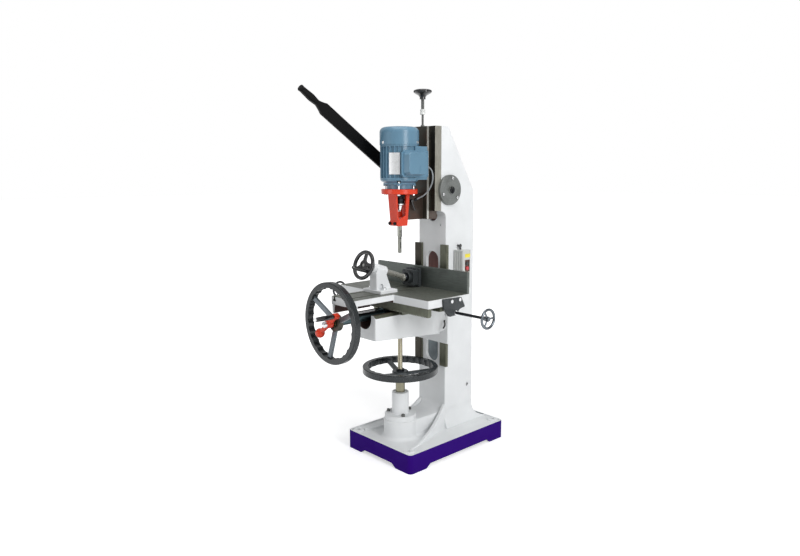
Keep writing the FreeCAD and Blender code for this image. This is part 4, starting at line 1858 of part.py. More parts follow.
NODES = [base_casting, column, head_ways, knee_ways, pinion_flange, return_spring, frame_screws, pillar,
         switch_box, cable_elbow, start_button, stop_button, pinion_shaft, feed_lever, head_slide, feed_rack,
         spindle_bracket, motor_frame, end_bell, fan_cowl, terminal_box, terminal_cover, head_screws,
         motor_cable, cable_glands, mortise_chisel, spindle_bearings, head_lock_lever, rotor_shaft,
         cooling_fan, drill_chuck, auger_bit, depth_screw, depth_knob, depth_nut, lift_wheel, lift_nut,
         elevating_screw, knee, saddle, cross_screw, balanced_crank, crank_grip, table_wheel, table_pinion,
         table, fence, end_plates, table_rack, table_screws, right_stop_rod, right_stop_wheel,
         left_stop_rod, left_stop_wheel, vise_bracket, vise_screw, vise_wheel, vise_grip, vise_quill,
         vise_jaw]


def main():
    os.makedirs("parts", exist_ok=True)
    for make in NODES:
        shape = make()
        name = make.__name__
        if not shape.isValid():
            print("not valid:", name)
        shape.exportStep("parts/" + name + ".step")
        print(name, len(shape.Solids), "solids", round(shape.Volume / 1000, 1), "cm3")


main()
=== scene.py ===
"""Looks of the hollow chisel mortiser: camera, materials, small parts and light.

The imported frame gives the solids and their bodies. Lengths are in metres, except that the
cable's route repeats the millimetres of the part's source.
"""

import math

import bpy
from mathutils import Matrix, Vector


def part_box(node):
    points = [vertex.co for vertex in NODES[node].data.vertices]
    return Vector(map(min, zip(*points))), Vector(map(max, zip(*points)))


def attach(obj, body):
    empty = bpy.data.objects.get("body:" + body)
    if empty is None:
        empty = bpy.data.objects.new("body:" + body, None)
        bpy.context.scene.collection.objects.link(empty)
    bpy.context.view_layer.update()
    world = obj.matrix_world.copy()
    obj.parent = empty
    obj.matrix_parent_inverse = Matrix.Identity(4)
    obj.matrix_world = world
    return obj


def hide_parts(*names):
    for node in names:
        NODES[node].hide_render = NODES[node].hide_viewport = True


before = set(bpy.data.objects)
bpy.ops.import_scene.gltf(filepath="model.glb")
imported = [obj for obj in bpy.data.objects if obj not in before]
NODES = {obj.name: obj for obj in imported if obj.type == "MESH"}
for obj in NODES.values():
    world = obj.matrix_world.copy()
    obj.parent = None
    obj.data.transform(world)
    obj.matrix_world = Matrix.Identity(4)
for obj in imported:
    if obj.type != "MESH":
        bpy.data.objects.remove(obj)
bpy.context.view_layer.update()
MM = 0.001


# Camera ------------------------------------------------------------------------------------------

FOCAL_PX = 662.105
WIDTH_PX = 800
SENSOR_MM = 36.0
CAMERA_AT = Vector((2.31543, -2.3249, 1.373222))
CAMERA_YAW = 0.825
CAMERA_PITCH = 0.155
CAMERA_ROLL = 0.004
CLIP = (0.05, 100.0)


def make_camera():
    level = Vector((-math.sin(CAMERA_YAW), math.cos(CAMERA_YAW), 0))
    right = Vector((math.cos(CAMERA_YAW), math.sin(CAMERA_YAW), 0))
    up = Vector((0, 0, 1))
    ahead = level * math.cos(CAMERA_PITCH) - up * math.sin(CAMERA_PITCH)
    top = up * math.cos(CAMERA_PITCH) + level * math.sin(CAMERA_PITCH)
    side = math.cos(CAMERA_ROLL) * right - math.sin(CAMERA_ROLL) * top
    head = math.sin(CAMERA_ROLL) * right + math.cos(CAMERA_ROLL) * top
    data = bpy.data.cameras.new("photo_camera")
    data.sensor_width = SENSOR_MM
    data.lens = SENSOR_MM * FOCAL_PX / WIDTH_PX
    data.clip_start, data.clip_end = CLIP
    camera = bpy.data.objects.new("photo_camera", data)
    rows = Matrix((side, head, -ahead)).transposed().to_4x4()
    camera.matrix_world = Matrix.Translation(CAMERA_AT) @ rows
    bpy.context.scene.collection.objects.link(camera)
    bpy.context.scene.camera = camera


# Materials ---------------------------------------------------------------------------------------

MIDDLE = (0.3, 0.7)      # part of a noise's values that holds nearly all of them
GRIME_SHARE = 0.16
GRIME_SHADE = 0.78
DUST = "#6A6C6E"
DUST_SHARE = 0.12
COAT_ROUGHNESS = 0.18
GLOSS_ROUGHNESS = 0.12
EDGE_LEAN = (0.02, 0.22) # lean of the softened normal from where an edge begins to its middle


def rgb(code):
    """Linear colour of an sRGB hex code."""
    values = [int(code[i:i + 2], 16) / 255 for i in (1, 3, 5)]
    linear = [v / 12.92 if v <= 0.04045 else ((v + 0.055) / 1.055) ** 2.4 for v in values]
    return (*linear, 1.0)


def shade(colour, factor):
    return tuple(min(1.0, c * factor) for c in colour[:3]) + (1.0,)


class Shader:
    """Node tree of one material, with short calls for the nodes that it uses."""

    def __init__(self, name):
        self.material = bpy.data.materials.new(name)
        self.material.use_nodes = True
        self.tree = self.material.node_tree
        self.surface = self.tree.nodes["Principled BSDF"]
        self.place = self.add("ShaderNodeTexCoord").outputs["Object"]

    def add(self, kind, **settings):
        node = self.tree.nodes.new(kind)
        for key, value in settings.items():
            setattr(node, key, value)
        return node

    def feed(self, node, name, value):
        socket = node.inputs[name]
        if isinstance(value, bpy.types.NodeSocket):
            self.tree.links.new(value, socket)
        else:
            socket.default_value = value

    def set(self, **values):
        for name, value in values.items():
            self.feed(self.surface, name.replace("_", " "), value)

    def stretched(self, scale):
        node = self.add("ShaderNodeMapping")
        self.feed(node, "Vector", self.place)
        self.feed(node, "Scale", scale)
        return node.outputs["Vector"]

    def noise(self, scale, detail=3.0, rough=0.55, stretch=None, warp=0.0):
        node = self.add("ShaderNodeTexNoise")
        self.feed(node, "Vector", self.place if stretch is None else self.stretched(stretch))
        self.feed(node, "Scale", scale)
        self.feed(node, "Detail", detail)
        self.feed(node, "Roughness", rough)
        self.feed(node, "Distortion", warp)
        return node.outputs["Fac"]

    def calc(self, operation, a, b):
        node = self.add("ShaderNodeMath", operation=operation)
        self.feed(node, 0, a)
        self.feed(node, 1, b)
        return node.outputs[0]

    def span(self, value, low, high, to_low=0.0, to_high=1.0):
        node = self.add("ShaderNodeMapRange")
        self.feed(node, "Value", value)
        self.feed(node, "From Min", low)
        self.feed(node, "From Max", high)
        self.feed(node, "To Min", to_low)
        self.feed(node, "To Max", to_high)
        return node.outputs["Result"]

    def mix(self, factor, first, second):
        node = self.add("ShaderNodeMix", data_type="RGBA")
        self.feed(node, 0, factor)
        self.feed(node, 6, first)
        self.feed(node, 7, second)
        return node.outputs[2]

    def bump(self, height, strength, distance, before=None):
        node = self.add("ShaderNodeBump")
        self.feed(node, "Height", height)
        self.feed(node, "Strength", strength)
        self.feed(node, "Distance", distance)
        if before is not None:
            self.feed(node, "Normal", before)
        return node.outputs["Normal"]

    def soft_edges(self, radius):
        node = self.add("ShaderNodeBevel", samples=4)
        self.feed(node, "Radius", radius)
        return node.outputs["Normal"]

    def edge_mask(self, soft):
        """One along sharp edges, from how far the softened normal leans from the true one."""
        geometry = self.add("ShaderNodeNewGeometry")
        node = self.add("ShaderNodeVectorMath", operation="DOT_PRODUCT")
        self.feed(node, 0, soft)
        self.feed(node, 1, geometry.outputs["Normal"])
        lean = self.calc("SUBTRACT", 1.0, node.outputs["Value"])
        return self.span(lean, *EDGE_LEAN)


def enamel(name, colour, rough=0.42, mottle=0.06, peel=0.10, cast=0.25, coat=0.06, edge=0.0012,
           shine=0.3, rim=0.0):
    """Machine enamel: slow unevenness of the casting under the fine peel of the paint."""
    s = Shader(name)
    base = rgb(colour)
    patches = s.noise(7.0, 4.0)
    dark = shade(base, 1 - mottle)
    light = shade(base, 1 + mottle * 0.5)
    colour_now = s.mix(s.span(patches, *MIDDLE), dark, light)
    grime = s.span(s.noise(46.0, 6.0, 0.7), 0.62, 0.86)
    colour_now = s.mix(s.calc("MULTIPLY", grime, GRIME_SHARE), colour_now, shade(base, GRIME_SHADE))
    soft = s.soft_edges(edge)
    # rim paints a highlight: sharp edges mix towards a much lighter copy of the colour.
    if rim:
        colour_now = s.mix(s.calc("MULTIPLY", s.edge_mask(soft), rim), colour_now, shade(base, 2.2))
    slow = s.bump(s.noise(38.0, 2.0), cast, 0.0012, soft)
    fine = s.bump(s.noise(420.0, 2.0), peel, 0.00025, slow)
    dull = s.span(s.noise(25.0, 4.0), *MIDDLE, rough - 0.05, rough + 0.07)
    s.set(Base_Color=colour_now, Roughness=dull, Normal=fine)
    s.surface.inputs["Specular IOR Level"].default_value = shine
    s.surface.inputs["Coat Weight"].default_value = coat
    s.surface.inputs["Coat Roughness"].default_value = COAT_ROUGHNESS
    return s.material


def iron(name, colour, rough=0.42, metal=0.75, lines=(1.0, 1.0, 1.0), line_scale=160.0,
         stain="#2A2620", stain_amount=0.35, edge_gain=1.9, edge=0.0010):
    """Ground or scraped iron: tool lines, oil stains, bright edges of wear and painted highlight.
    """
    s = Shader(name)
    base = rgb(colour)
    marks = s.noise(line_scale, 3.0, 0.6, lines)
    colour_now = s.mix(s.span(marks, *MIDDLE), shade(base, 0.84), shade(base, 1.18))
    stains = s.span(s.noise(11.0, 5.0, 0.62, warp=0.6), 0.50, 0.74)
    colour_now = s.mix(s.calc("MULTIPLY", stains, stain_amount), colour_now, rgb(stain))
    soft = s.soft_edges(edge)
    # Lighter edges: partly wear, partly a painted highlight; edge_gain sets how much lighter.
    patchy = s.span(s.noise(90.0, 4.0), 0.35, 0.65, 0.35, 1.0)
    wear_and_highlight = s.calc("MULTIPLY", s.edge_mask(soft), patchy)
    colour_now = s.mix(wear_and_highlight, colour_now, shade(base, edge_gain))
    grain = s.bump(marks, 0.12, 0.0003, soft)
    s.set(Base_Color=colour_now, Metallic=metal, Normal=grain,
          Roughness=s.span(s.noise(60.0, 4.0), *MIDDLE, rough - 0.08, rough + 0.10))
    return s.material


def turned_metal(name, colour, rough=0.25, scale=260.0, tarnish="#6B675C", dirt=0.3):
    """Turned or drawn steel with fine rings and a little tarnish."""
    s = Shader(name)
    base = rgb(colour)
    rings = s.noise(scale, 2.0, 0.5)
    colour_now = s.mix(s.span(rings, *MIDDLE), shade(base, 0.85), shade(base, 1.08))
    spots = s.span(s.noise(34.0, 5.0, 0.65), 0.52, 0.78)
    colour_now = s.mix(s.calc("MULTIPLY", spots, dirt), colour_now, rgb(tarnish))
    soft = s.soft_edges(0.0005)
    s.set(Base_Color=colour_now, Metallic=1.0, Normal=s.bump(rings, 0.10, 0.0002, soft),
          Roughness=s.span(rings, 0.2, 0.8, rough * 0.75, rough * 1.3))
    return s.material


def moulding(name, colour, rough=0.3, coat=0.4, grain=0.06):
    """Moulded plastic or thick gloss lacquer."""
    s = Shader(name)
    base = rgb(colour)
    clouds = s.span(s.noise(30.0, 3.0), *MIDDLE)
    colour_now = s.mix(clouds, shade(base, 0.85), shade(base, 1.15))
    dust = s.span(s.noise(160.0, 5.0, 0.7), 0.6, 0.8)
    colour_now = s.mix(s.calc("MULTIPLY", dust, DUST_SHARE), colour_now, rgb(DUST))
    soft = s.soft_edges(0.0006)
    s.set(Base_Color=colour_now, Normal=s.bump(s.noise(700.0, 2.0), grain, 0.0001, soft),
          Roughness=s.span(s.noise(50.0, 3.0), *MIDDLE, rough - 0.05, rough + 0.06))
    s.surface.inputs["Coat Weight"].default_value = coat
    s.surface.inputs["Coat Roughness"].default_value = GLOSS_ROUGHNESS
    return s.material


WHITE = enamel("white_enamel", "#E6E8E9")
PRIMER = enamel("oxide_primer", "#5B4744", rough=0.6, coat=0.0, mottle=0.25, shine=0.15)
INDIGO = enamel("indigo_enamel", "#310C75", rough=0.5, mottle=0.04, cast=0.15, coat=0.0, shine=0.03)
# Motor and bracket enamel: rim paints lighter highlights along their sharp edges.
MOTOR = enamel("motor_enamel", "#60859C", rough=0.30, mottle=0.06, cast=0.18, edge=0.0020,
               coat=0.25, rim=0.35)
RED = enamel("red_enamel", "#DC3A18", rough=0.30, mottle=0.10, coat=0.2, edge=0.0016, rim=0.2)
BLACK = enamel("black_satin", "#050506", rough=0.5, mottle=0.1, coat=0.0, cast=0.1, shine=0.12)
BOX = enamel("box_enamel", "#C9CBC8", rough=0.4, cast=0.05)

ALONG_X = (0.15, 3.0, 1.0)   # stretch of the tool lines
FENCE_LINES = (0.2, 1.0, 3.0)
UPRIGHT = (1.0, 1.0, 0.2)
LONG_UPRIGHT = (1.0, 1.0, 0.1)
SLIDE_LINES = (1.0, 1.0, 0.08)
ALONG_Y = (3.0, 0.2, 1.0)
QUILL_LINES = (1.0, 0.2, 1.0)
TABLE_IRON = iron("ground_table_iron", "#666961", rough=0.40, metal=0.45, lines=ALONG_X,
                  line_scale=120.0, stain="#33342E")
# Its strong edge_gain paints highlights along the fence's edges.
FENCE_IRON = iron("fence_iron", "#5B615D", rough=0.38, metal=0.5, lines=FENCE_LINES,
                  line_scale=120.0, stain="#2C2E2B", edge_gain=3.2)
PLATE_IRON = iron("dark_plate_iron", "#3B3F41", rough=0.45, metal=0.4, stain_amount=0.2,
                  edge_gain=3.0)
# Lighter copy of the way iron for faces turned towards the key light: painted light.
WAY_LIT_SIDE = iron("way_edge_iron", "#939187", metal=0.5, lines=UPRIGHT, line_scale=150.0,
                stain="#6A675C")
WAY_SIDE = iron("way_side_iron", "#64675A", rough=0.45, metal=0.5, lines=UPRIGHT, line_scale=150.0)
WAY_OLIVE = iron("knee_way_iron", "#5B5D4E", rough=0.45, metal=0.4, lines=UPRIGHT, line_scale=150.0)
# Darker copy of the way iron for front faces: painted shade.
WAY_SHADED_FACE = iron("way_face_iron", "#34312A", rough=0.33, lines=LONG_UPRIGHT, stain="#16130E",
                stain_amount=0.6)
SLIDE_FACE = iron("slide_face_iron", "#38362E", rough=0.38, metal=0.25, lines=SLIDE_LINES,
                  line_scale=90.0, stain="#4E3526", stain_amount=0.7)
FLANK_IRON = iron("slide_flank_iron", "#3B3029", rough=0.36, metal=0.4, lines=LONG_UPRIGHT,
                  stain="#5B3324", stain_amount=0.5)
# Near-white iron on the slide's +X face: a painted highlight.
SLIDE_LIT_SIDE = iron("slide_edge_iron", "#C6C6C0", rough=0.35, metal=0.6, lines=UPRIGHT,
                  stain="#8B8A80")
KNEE_TOP_IRON = iron("knee_top_iron", "#6F6353", rough=0.40, metal=0.4, lines=ALONG_Y,
                     stain="#3A352B")
DISC_IRON = iron("disc_iron", "#767977", metal=0.5, stain="#4C4E4B", stain_amount=0.6)
# Its strong edge_gain paints highlights along the rim's edges.
WHEEL = iron("wheel_slate", "#272B2D", rough=0.24, metal=0.3, stain="#171B1D", stain_amount=0.5,
             edge_gain=4.0)
HUB_IRON = iron("wheel_hub_iron", "#45443C", rough=0.4, metal=0.5, stain="#2B2A24")
SPOKE = iron("wheel_spoke", "#6A7278", rough=0.38, metal=0.35, stain="#474E53", stain_amount=0.5)
LIFT_SPOKE = iron("lift_spoke", "#3A3F42", rough=0.34, metal=0.35, stain="#22272A",
                  stain_amount=0.5)
QUILL_STEEL = iron("quill_steel", "#A5A49C", rough=0.3, metal=0.55, lines=QUILL_LINES,
                   stain="#6D6B62")

STEEL = turned_metal("turned_steel", "#B4B5B1", rough=0.26)
CHISEL_STEEL = turned_metal("chisel_steel", "#85867F", rough=0.30, tarnish="#3F3F3B", dirt=0.45)
ROD_STEEL = turned_metal("rod_steel", "#6A6B69", rough=0.34, tarnish="#35353A")
SCREW_STEEL = turned_metal("lead_screw_steel", "#B7B09A", rough=0.30, tarnish="#7D7358", dirt=0.45)
SLEEVE_STEEL = turned_metal("nut_sleeve_steel", "#858270", rough=0.34, tarnish="#4E4B3A", dirt=0.5)
TUBE_STEEL = turned_metal("sleeve_tube_steel", "#4A5A5E", rough=0.32, tarnish="#2A3234", dirt=0.4)
BRIGHT = turned_metal("bright_bolt", "#DADBDC", rough=0.18, dirt=0.12)
DARK_STEEL = turned_metal("blackened_steel", "#2B2D30", rough=0.38, tarnish="#17181A")
CHROME = turned_metal("chrome", "#6A7075", rough=0.14, dirt=0.35, scale=40.0, tarnish="#3A3E42")
# Darker copy of the chrome for the mirrored left stop wheel: painted shade.
SHADED_CHROME = turned_metal("dark_chrome", "#4A4D50", rough=0.2, scale=40.0, tarnish="#242628")
BRASS = turned_metal("washer_brass", "#9A8C4E", rough=0.34, tarnish="#5D5433", dirt=0.5)
BRONZE = turned_metal("dull_bronze", "#8F8150", rough=0.36, tarnish="#5D5433", dirt=0.5)
BARE_PLATE = turned_metal("name_plate_tin", "#D2D3D4", rough=0.42, dirt=0.25)

BLACK_GLOSS = moulding("black_gloss", "#0E0F11", rough=0.22, coat=0.5)
BLACK_MOULD = moulding("black_moulding", "#161719", rough=0.36)
RED_BUTTON = moulding("red_button", "#C8202A", rough=0.25)
CABLE = moulding("cable_sheath", "#8D9295", rough=0.45, coat=0.0)
YELLOW = moulding("yellow_film", "#EBD93A", rough=0.4, coat=0.2)
BROWN_PANEL = moulding("panel_brown", "#5A3A30", rough=0.4, coat=0.2)
LIGHT_PLASTIC = moulding("light_plastic", "#E2E3E0", rough=0.35)


SLOT_FADE = (0.70, 0.86)     # heights between which the paint gives way to primer


def slot_paint():
    """Inside of the column: grey enamel below, bare primer round the arch."""
    s = Shader("slot_grey_enamel")
    axes = s.add("ShaderNodeSeparateXYZ")
    s.feed(axes, 0, s.place)
    base = s.mix(s.span(axes.outputs["Z"], *SLOT_FADE), rgb("#8A9499"), rgb("#6E4C48"))
    base = s.mix(s.span(s.noise(14.0, 5.0), 0.35, 0.65, 0.0, 0.5), base, rgb("#3A3838"))
    s.set(Base_Color=base, Roughness=0.6, Normal=s.bump(s.noise(60.0, 3.0), 0.3, 0.0012))
    return s.material


SLOT_PAINT = slot_paint()


def dress(node, main, *rules):
    """Materials of a CAD node. Each rule is (material, test of a face's centre and normal).

    The first test that says yes decides the face, and the rest of the node is main.
    """
    mesh = NODES[node].data
    mesh.materials.clear()
    mesh.materials.append(main)
    for material, _ in rules:
        mesh.materials.append(material)
    if not rules:
        return
    for face in mesh.polygons:
        face.material_index = 0
        for index, (_, test) in enumerate(rules):
            if test(face.center, face.normal):
                face.material_index = index + 1
                break


# Places on the machine ---------------------------------------------------------------------------

BASE_LOW, BASE_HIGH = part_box("base_casting")
BASE_HALF_X = BASE_HIGH.x
BASE_HALF_Y = (BASE_HIGH.y - BASE_LOW.y) / 2
BASE_MID_Y = (BASE_HIGH.y + BASE_LOW.y) / 2
BASE_TOP = 0.093
BASE_CORNER = 0.022
AXIS_Y = (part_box("pillar")[0].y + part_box("pillar")[1].y) / 2
SKIRT_REACH = 0.0086     # how far the indigo may lie inside the base's outline
SLACK = 0.0004           # for a face that lies on a limit
WIDE_SLACK = 0.001       # the same, where nothing else lies near
PILLAR_BOLT_R = 0.062
PILLAR_BOLT_REACH = 0.011
PILLAR_FLANGE_TOP = 0.206
TABLE_LOW, TABLE_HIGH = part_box("table")
TABLE_SLAB = 0.038
APRON_BACK_Y = -0.3115   # the skirt and apron of the extension lie in front of this
SKIRT_IN_X = -0.0745
UNDER_BACK_Y = -0.3065
UNDER_TOP = 0.0275       # underside of the extension's slab, below the table's top
UNDER_HALF_X = 0.0875
APRON_INSIDE = 0.0135
TSLOT_X = (-0.062, 0.034)
TSLOT_REACH = 0.0112
COLUMN_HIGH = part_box("column")[1]
SHAFT_Y = 0.053
SHAFT_Z = 1.2985
FLANGE_R = 0.073
COLUMN_INSIDE_X = 0.0765
COLUMN_INSIDE_Y = 0.0505
COLUMN_FLOOR_Z = 0.09
COLUMN_BACK_Y = 0.06     # faces behind this that look back are the column's outside
WHEEL_SPOKES_R = 0.150
WHEEL_HUB_R = 0.0405
LIFT_WHEEL_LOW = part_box("lift_wheel")[0].z
KNEE_FRONT_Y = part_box("knee")[0].y
KNEE_TOP_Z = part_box("knee")[1].z
KNEE_BEVEL = 0.016       # height of the bevels at its top
KNEE_BEVEL_BACK_Y = -0.02
KNEE_LIP = 0.012
CRANK_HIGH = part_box("balanced_crank")[1]
CRANK_SCREW_R = 0.0115
CRANK_WASHER_REACH = 0.008
GRIP_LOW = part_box("crank_grip")[0]
GRIP_CAP = 0.006         # length of the grip's bright outer end
ACORN_BACK_Y = -0.6285
BOX_FACE_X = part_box("switch_box")[1].x
RECESS_Y = (0.098, 0.143)
RECESS_Z = (0.892, 0.958)
RECESS_DEPTH = 0.012
STOP_NUT_END = 0.3375
VISE_BALL_Y = -0.1535
VISE_BOLT_Y = -0.316
VISE_BOLT_R = 0.0105
VISE_FOOT_T = 0.0148
BRACKET_SCREWS_Z = 1.2   # the bracket's stud nuts lie above, the chisel's clamp screws below
CHUCK_NOSE_Z = 1.2375
TROUGH_REACH = 0.0515
TROUGH_Z = 0.716
PRIMER_RISE = 0.006      # how far the primer goes up past the trough's centre
WHEEL_Z = 0.722
SLIDE_LIT_SIDE_X = 0.04

# How much of a face's normal lies along an axis: leaning that way, facing it, square to it.
LEANING = 0.5
FACING = 0.7
FLAT = 0.95


def skirt(c, n):
    """Outside of the base below its top rim, by distance from a rounded rectangle."""
    a = abs(c.x) - (BASE_HALF_X - BASE_CORNER)
    b = abs(c.y - BASE_MID_Y) - (BASE_HALF_Y - BASE_CORNER)
    edge = math.hypot(max(a, 0), max(b, 0)) + min(max(a, b), 0) - BASE_CORNER
    return edge > -SKIRT_REACH and c.z < BASE_TOP - SLACK


def pillar_bolt(c, n):
    r = math.hypot(c.x, c.y - AXIS_Y)
    return abs(r - PILLAR_BOLT_R) < PILLAR_BOLT_REACH and c.z > PILLAR_FLANGE_TOP + SLACK


def table_side(c, n):
    """White edges of the table slab and of its skirt, without the walls of the T-slots."""
    if abs(n.z) >= LEANING:
        return False
    if c.y < APRON_BACK_Y and c.x < SKIRT_IN_X:
        return True
    in_slot = min(abs(c.x - x) for x in TSLOT_X) < TSLOT_REACH and c.y > TABLE_LOW.y + SLACK
    return c.z > TABLE_HIGH.z - TABLE_SLAB - SLACK and not in_slot


def table_way(c, n):
    return c.z < TABLE_HIGH.z - TABLE_SLAB + SLACK / 2


def flange_screw(c, n):
    return c.x > COLUMN_HIGH.x and math.hypot(c.y - SHAFT_Y, c.z - SHAFT_Z) < FLANGE_R


def button_recess(c, n):
    inside = RECESS_Y[0] < c.y < RECESS_Y[1] and RECESS_Z[0] < c.z < RECESS_Z[1]
    return inside and BOX_FACE_X - RECESS_DEPTH < c.x < BOX_FACE_X - SLACK / 2


def knee_bevel(c, n):
    leans = LEANING < n.z < FLAT
    return leans and c.z > KNEE_TOP_Z - KNEE_BEVEL and c.y < KNEE_BEVEL_BACK_Y


def knee_top(c, n):
    return n.z > FLAT and c.z > KNEE_TOP_Z - WIDE_SLACK and c.y > KNEE_FRONT_Y + KNEE_LIP


def crank_washer(c, n):
    beyond_screw = math.hypot(c.x, c.z - WHEEL_Z) > CRANK_SCREW_R
    on_washer = CRANK_HIGH.y - WIDE_SLACK < c.y < CRANK_HIGH.y + CRANK_WASHER_REACH
    return on_washer and beyond_screw


def faces_side(c, n):
    return n.x > FACING


def under_extension(c, n):
    """Hollow underside of the table's extension, with the inner faces of its apron and skirt."""
    inside = c.y > TABLE_LOW.y + APRON_INSIDE and SKIRT_IN_X - WIDE_SLACK < c.x < UNDER_HALF_X
    return inside and c.y < UNDER_BACK_Y and c.z < TABLE_HIGH.z - UNDER_TOP


def in_column(c, n):
    """Inside of the column's walls, seen through its slot and arch."""
    outside = n.y > 0.2 and c.y > COLUMN_BACK_Y
    deep = c.y > COLUMN_INSIDE_Y and c.z > COLUMN_FLOOR_Z
    return abs(c.x) < COLUMN_INSIDE_X and deep and not outside


def in_trough(c, n):
    return math.hypot(c.x, c.z - TROUGH_Z) < TROUGH_REACH and c.z < TROUGH_Z + PRIMER_RISE


def faces_front(c, n):
    return n.y < -FACING


def vise_bolt(c, n):
    near = min(math.hypot(c.x - x, c.y - VISE_BOLT_Y) for x in TSLOT_X) < VISE_BOLT_R
    return near and c.z > TABLE_HIGH.z + VISE_FOOT_T


def spoke_of(centre, axis, hub_r, rim_r):
    """Test: the face lies between a wheel's hub and rim."""
    def test(c, n):
        d = Vector(c) - Vector(centre)
        d = d - Vector(axis) * d.dot(Vector(axis))
        return hub_r < d.length < rim_r
    return test


def dress_all():
    dress("base_casting", WHITE, (INDIGO, skirt))
    dress("column", WHITE, (SLOT_PAINT, in_column))
    # Head ways by facing: front faces painted in shade, +X faces painted lit.
    dress("head_ways", WAY_SIDE, (WAY_SHADED_FACE, faces_front), (WAY_LIT_SIDE, faces_side))
    # Only the left bar's front faces get the darker iron: painted shade.
    dress("knee_ways", WAY_OLIVE, (WAY_SHADED_FACE, lambda c, n: faces_front(c, n) and c.x < 0))
    dress("pinion_flange", DISC_IRON)
    dress("return_spring", STEEL)
    dress("frame_screws", DARK_STEEL, (BRIGHT, flange_screw), (ROD_STEEL, pillar_bolt))
    dress("pillar", WHITE)
    dress("switch_box", BOX, (BROWN_PANEL, button_recess))
    dress("cable_elbow", BLACK_MOULD)
    dress("start_button", BLACK_MOULD)
    dress("stop_button", RED_BUTTON)
    dress("pinion_shaft", STEEL, (DARK_STEEL, lambda c, n: c.x > COLUMN_HIGH.x + 0.004))
    dress("feed_lever", BLACK)
    # The slide's outer +X face is painted as a bright highlight strip.
    dress("head_slide", FLANK_IRON, (SLIDE_FACE, faces_front),
          (SLIDE_LIT_SIDE, lambda c, n: n.x > FLAT and c.x > SLIDE_LIT_SIDE_X))
    dress("feed_rack", STEEL)
    dress("spindle_bracket", RED)
    for node in ("motor_frame", "end_bell", "fan_cowl", "terminal_box", "terminal_cover"):
        dress(node, MOTOR)
    dress("head_screws", DARK_STEEL, (BRIGHT, lambda c, n: c.z > BRACKET_SCREWS_Z))
    dress("cable_glands", DARK_STEEL)
    dress("mortise_chisel", CHISEL_STEEL)
    dress("spindle_bearings", STEEL)
    dress("head_lock_lever", BLACK_GLOSS)
    dress("rotor_shaft", STEEL)
    dress("cooling_fan", BLACK_MOULD)
    dress("drill_chuck", DARK_STEEL, (BRIGHT, lambda c, n: c.z < CHUCK_NOSE_Z))
    dress("auger_bit", STEEL)
    dress("depth_knob", BLACK_GLOSS)
    dress("depth_nut", BRONZE)
    lift_spokes = spoke_of((0, AXIS_Y, 0), (0, 0, 1), 0.0, WHEEL_SPOKES_R)
    dress("lift_wheel", WHEEL, (LIFT_SPOKE, lift_spokes))
    dress("lift_nut", SLEEVE_STEEL, (DARK_STEEL, lambda c, n: c.z > LIFT_WHEEL_LOW))
    dress("knee", WHITE, (PRIMER, in_trough), (WAY_OLIVE, knee_bevel), (KNEE_TOP_IRON, knee_top))
    dress("saddle", WAY_SIDE)
    dress("cross_screw", DARK_STEEL, (BRIGHT, lambda c, n: c.y < ACORN_BACK_Y),
          (BRASS, crank_washer))
    dress("balanced_crank", RED)
    dress("crank_grip", BLACK_GLOSS, (BRIGHT, lambda c, n: c.y < GRIP_LOW.y + GRIP_CAP))
    wheel_axis = ((0, 0, WHEEL_Z), (0, 1, 0))
    dress("table_wheel", WHEEL, (HUB_IRON, spoke_of(*wheel_axis, 0.0, WHEEL_HUB_R)),
          (SPOKE, spoke_of(*wheel_axis, WHEEL_HUB_R, WHEEL_SPOKES_R)))
    dress("table_pinion", TUBE_STEEL)
    dress("table", TABLE_IRON, (PRIMER, under_extension), (WHITE, table_side),
          (WAY_SIDE, table_way))
    dress("fence", FENCE_IRON)
    dress("end_plates", PLATE_IRON)
    dress("table_rack", WAY_SIDE)
    dress("table_screws", BRIGHT)
    # The left stop wheel takes the darker chrome copy: painted shade.
    for side, rim in (("right", CHROME), ("left", SHADED_CHROME)):
        dress(side + "_stop_rod", DARK_STEEL, (BRIGHT, lambda c, n: abs(c.x) < STOP_NUT_END))
        dress(side + "_stop_wheel", rim)
    dress("vise_bracket", WHITE, (BRIGHT, vise_bolt))
    dress("vise_screw", STEEL)
    dress("vise_wheel", BLACK_GLOSS)
    dress("vise_grip", BLACK_GLOSS)
    dress("vise_quill", QUILL_STEEL, (DARK_STEEL, lambda c, n: c.y > VISE_BALL_Y))
    dress("vise_jaw", PLATE_IRON)


# Small pieces ------------------------------------------------------------------------------------

def mesh_from(name, points, faces):
    mesh = bpy.data.meshes.new(name)
    mesh.from_pydata(points, [], faces)
    return mesh


def ring_faces(rings, count, flipped=False):
    """Quads between neighbouring rings of count points each, with a cap at both ends."""
    faces = []
    for j in range(rings - 1):
        low = j * count
        high = low + count
        for i in range(count):
            k = (i + 1) % count
            if flipped:
                faces.append((low + i, high + i, high + k, low + k))
            else:
                faces.append((low + i, low + k, high + k, high + i))
    first = tuple(range(count))
    last = tuple((rings - 1) * count + i for i in range(count))
    faces += [first, last[::-1]] if flipped else [first[::-1], last]
    return faces


def finish_piece(name, mesh, material, body, soft_angle=0.6):
    """Object of a small piece, smooth over its rounds, riding on a body."""
    mesh.polygons.foreach_set("use_smooth", [True] * len(mesh.polygons))
    mesh.set_sharp_from_angle(angle=soft_angle)
    mesh.materials.append(material)
    piece = bpy.data.objects.new(name, mesh)
    bpy.context.scene.collection.objects.link(piece)
    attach(piece, body)
    return piece


def turned_mesh(name, profile, at, direction, sides=24):
    """Solid of revolution. profile holds (radius, distance) pairs along direction from at."""
    turn = Vector((0, 0, 1)).rotation_difference(Vector(direction)).to_matrix()
    centre = Vector(at)
    points = []
    for radius, along in profile:
        for i in range(sides):
            angle = 2 * math.pi * i / sides
            offset = Vector((radius * math.cos(angle), radius * math.sin(angle), along))
            points.append(centre + turn @ offset)
    return mesh_from(name, points, ring_faces(len(profile), sides))


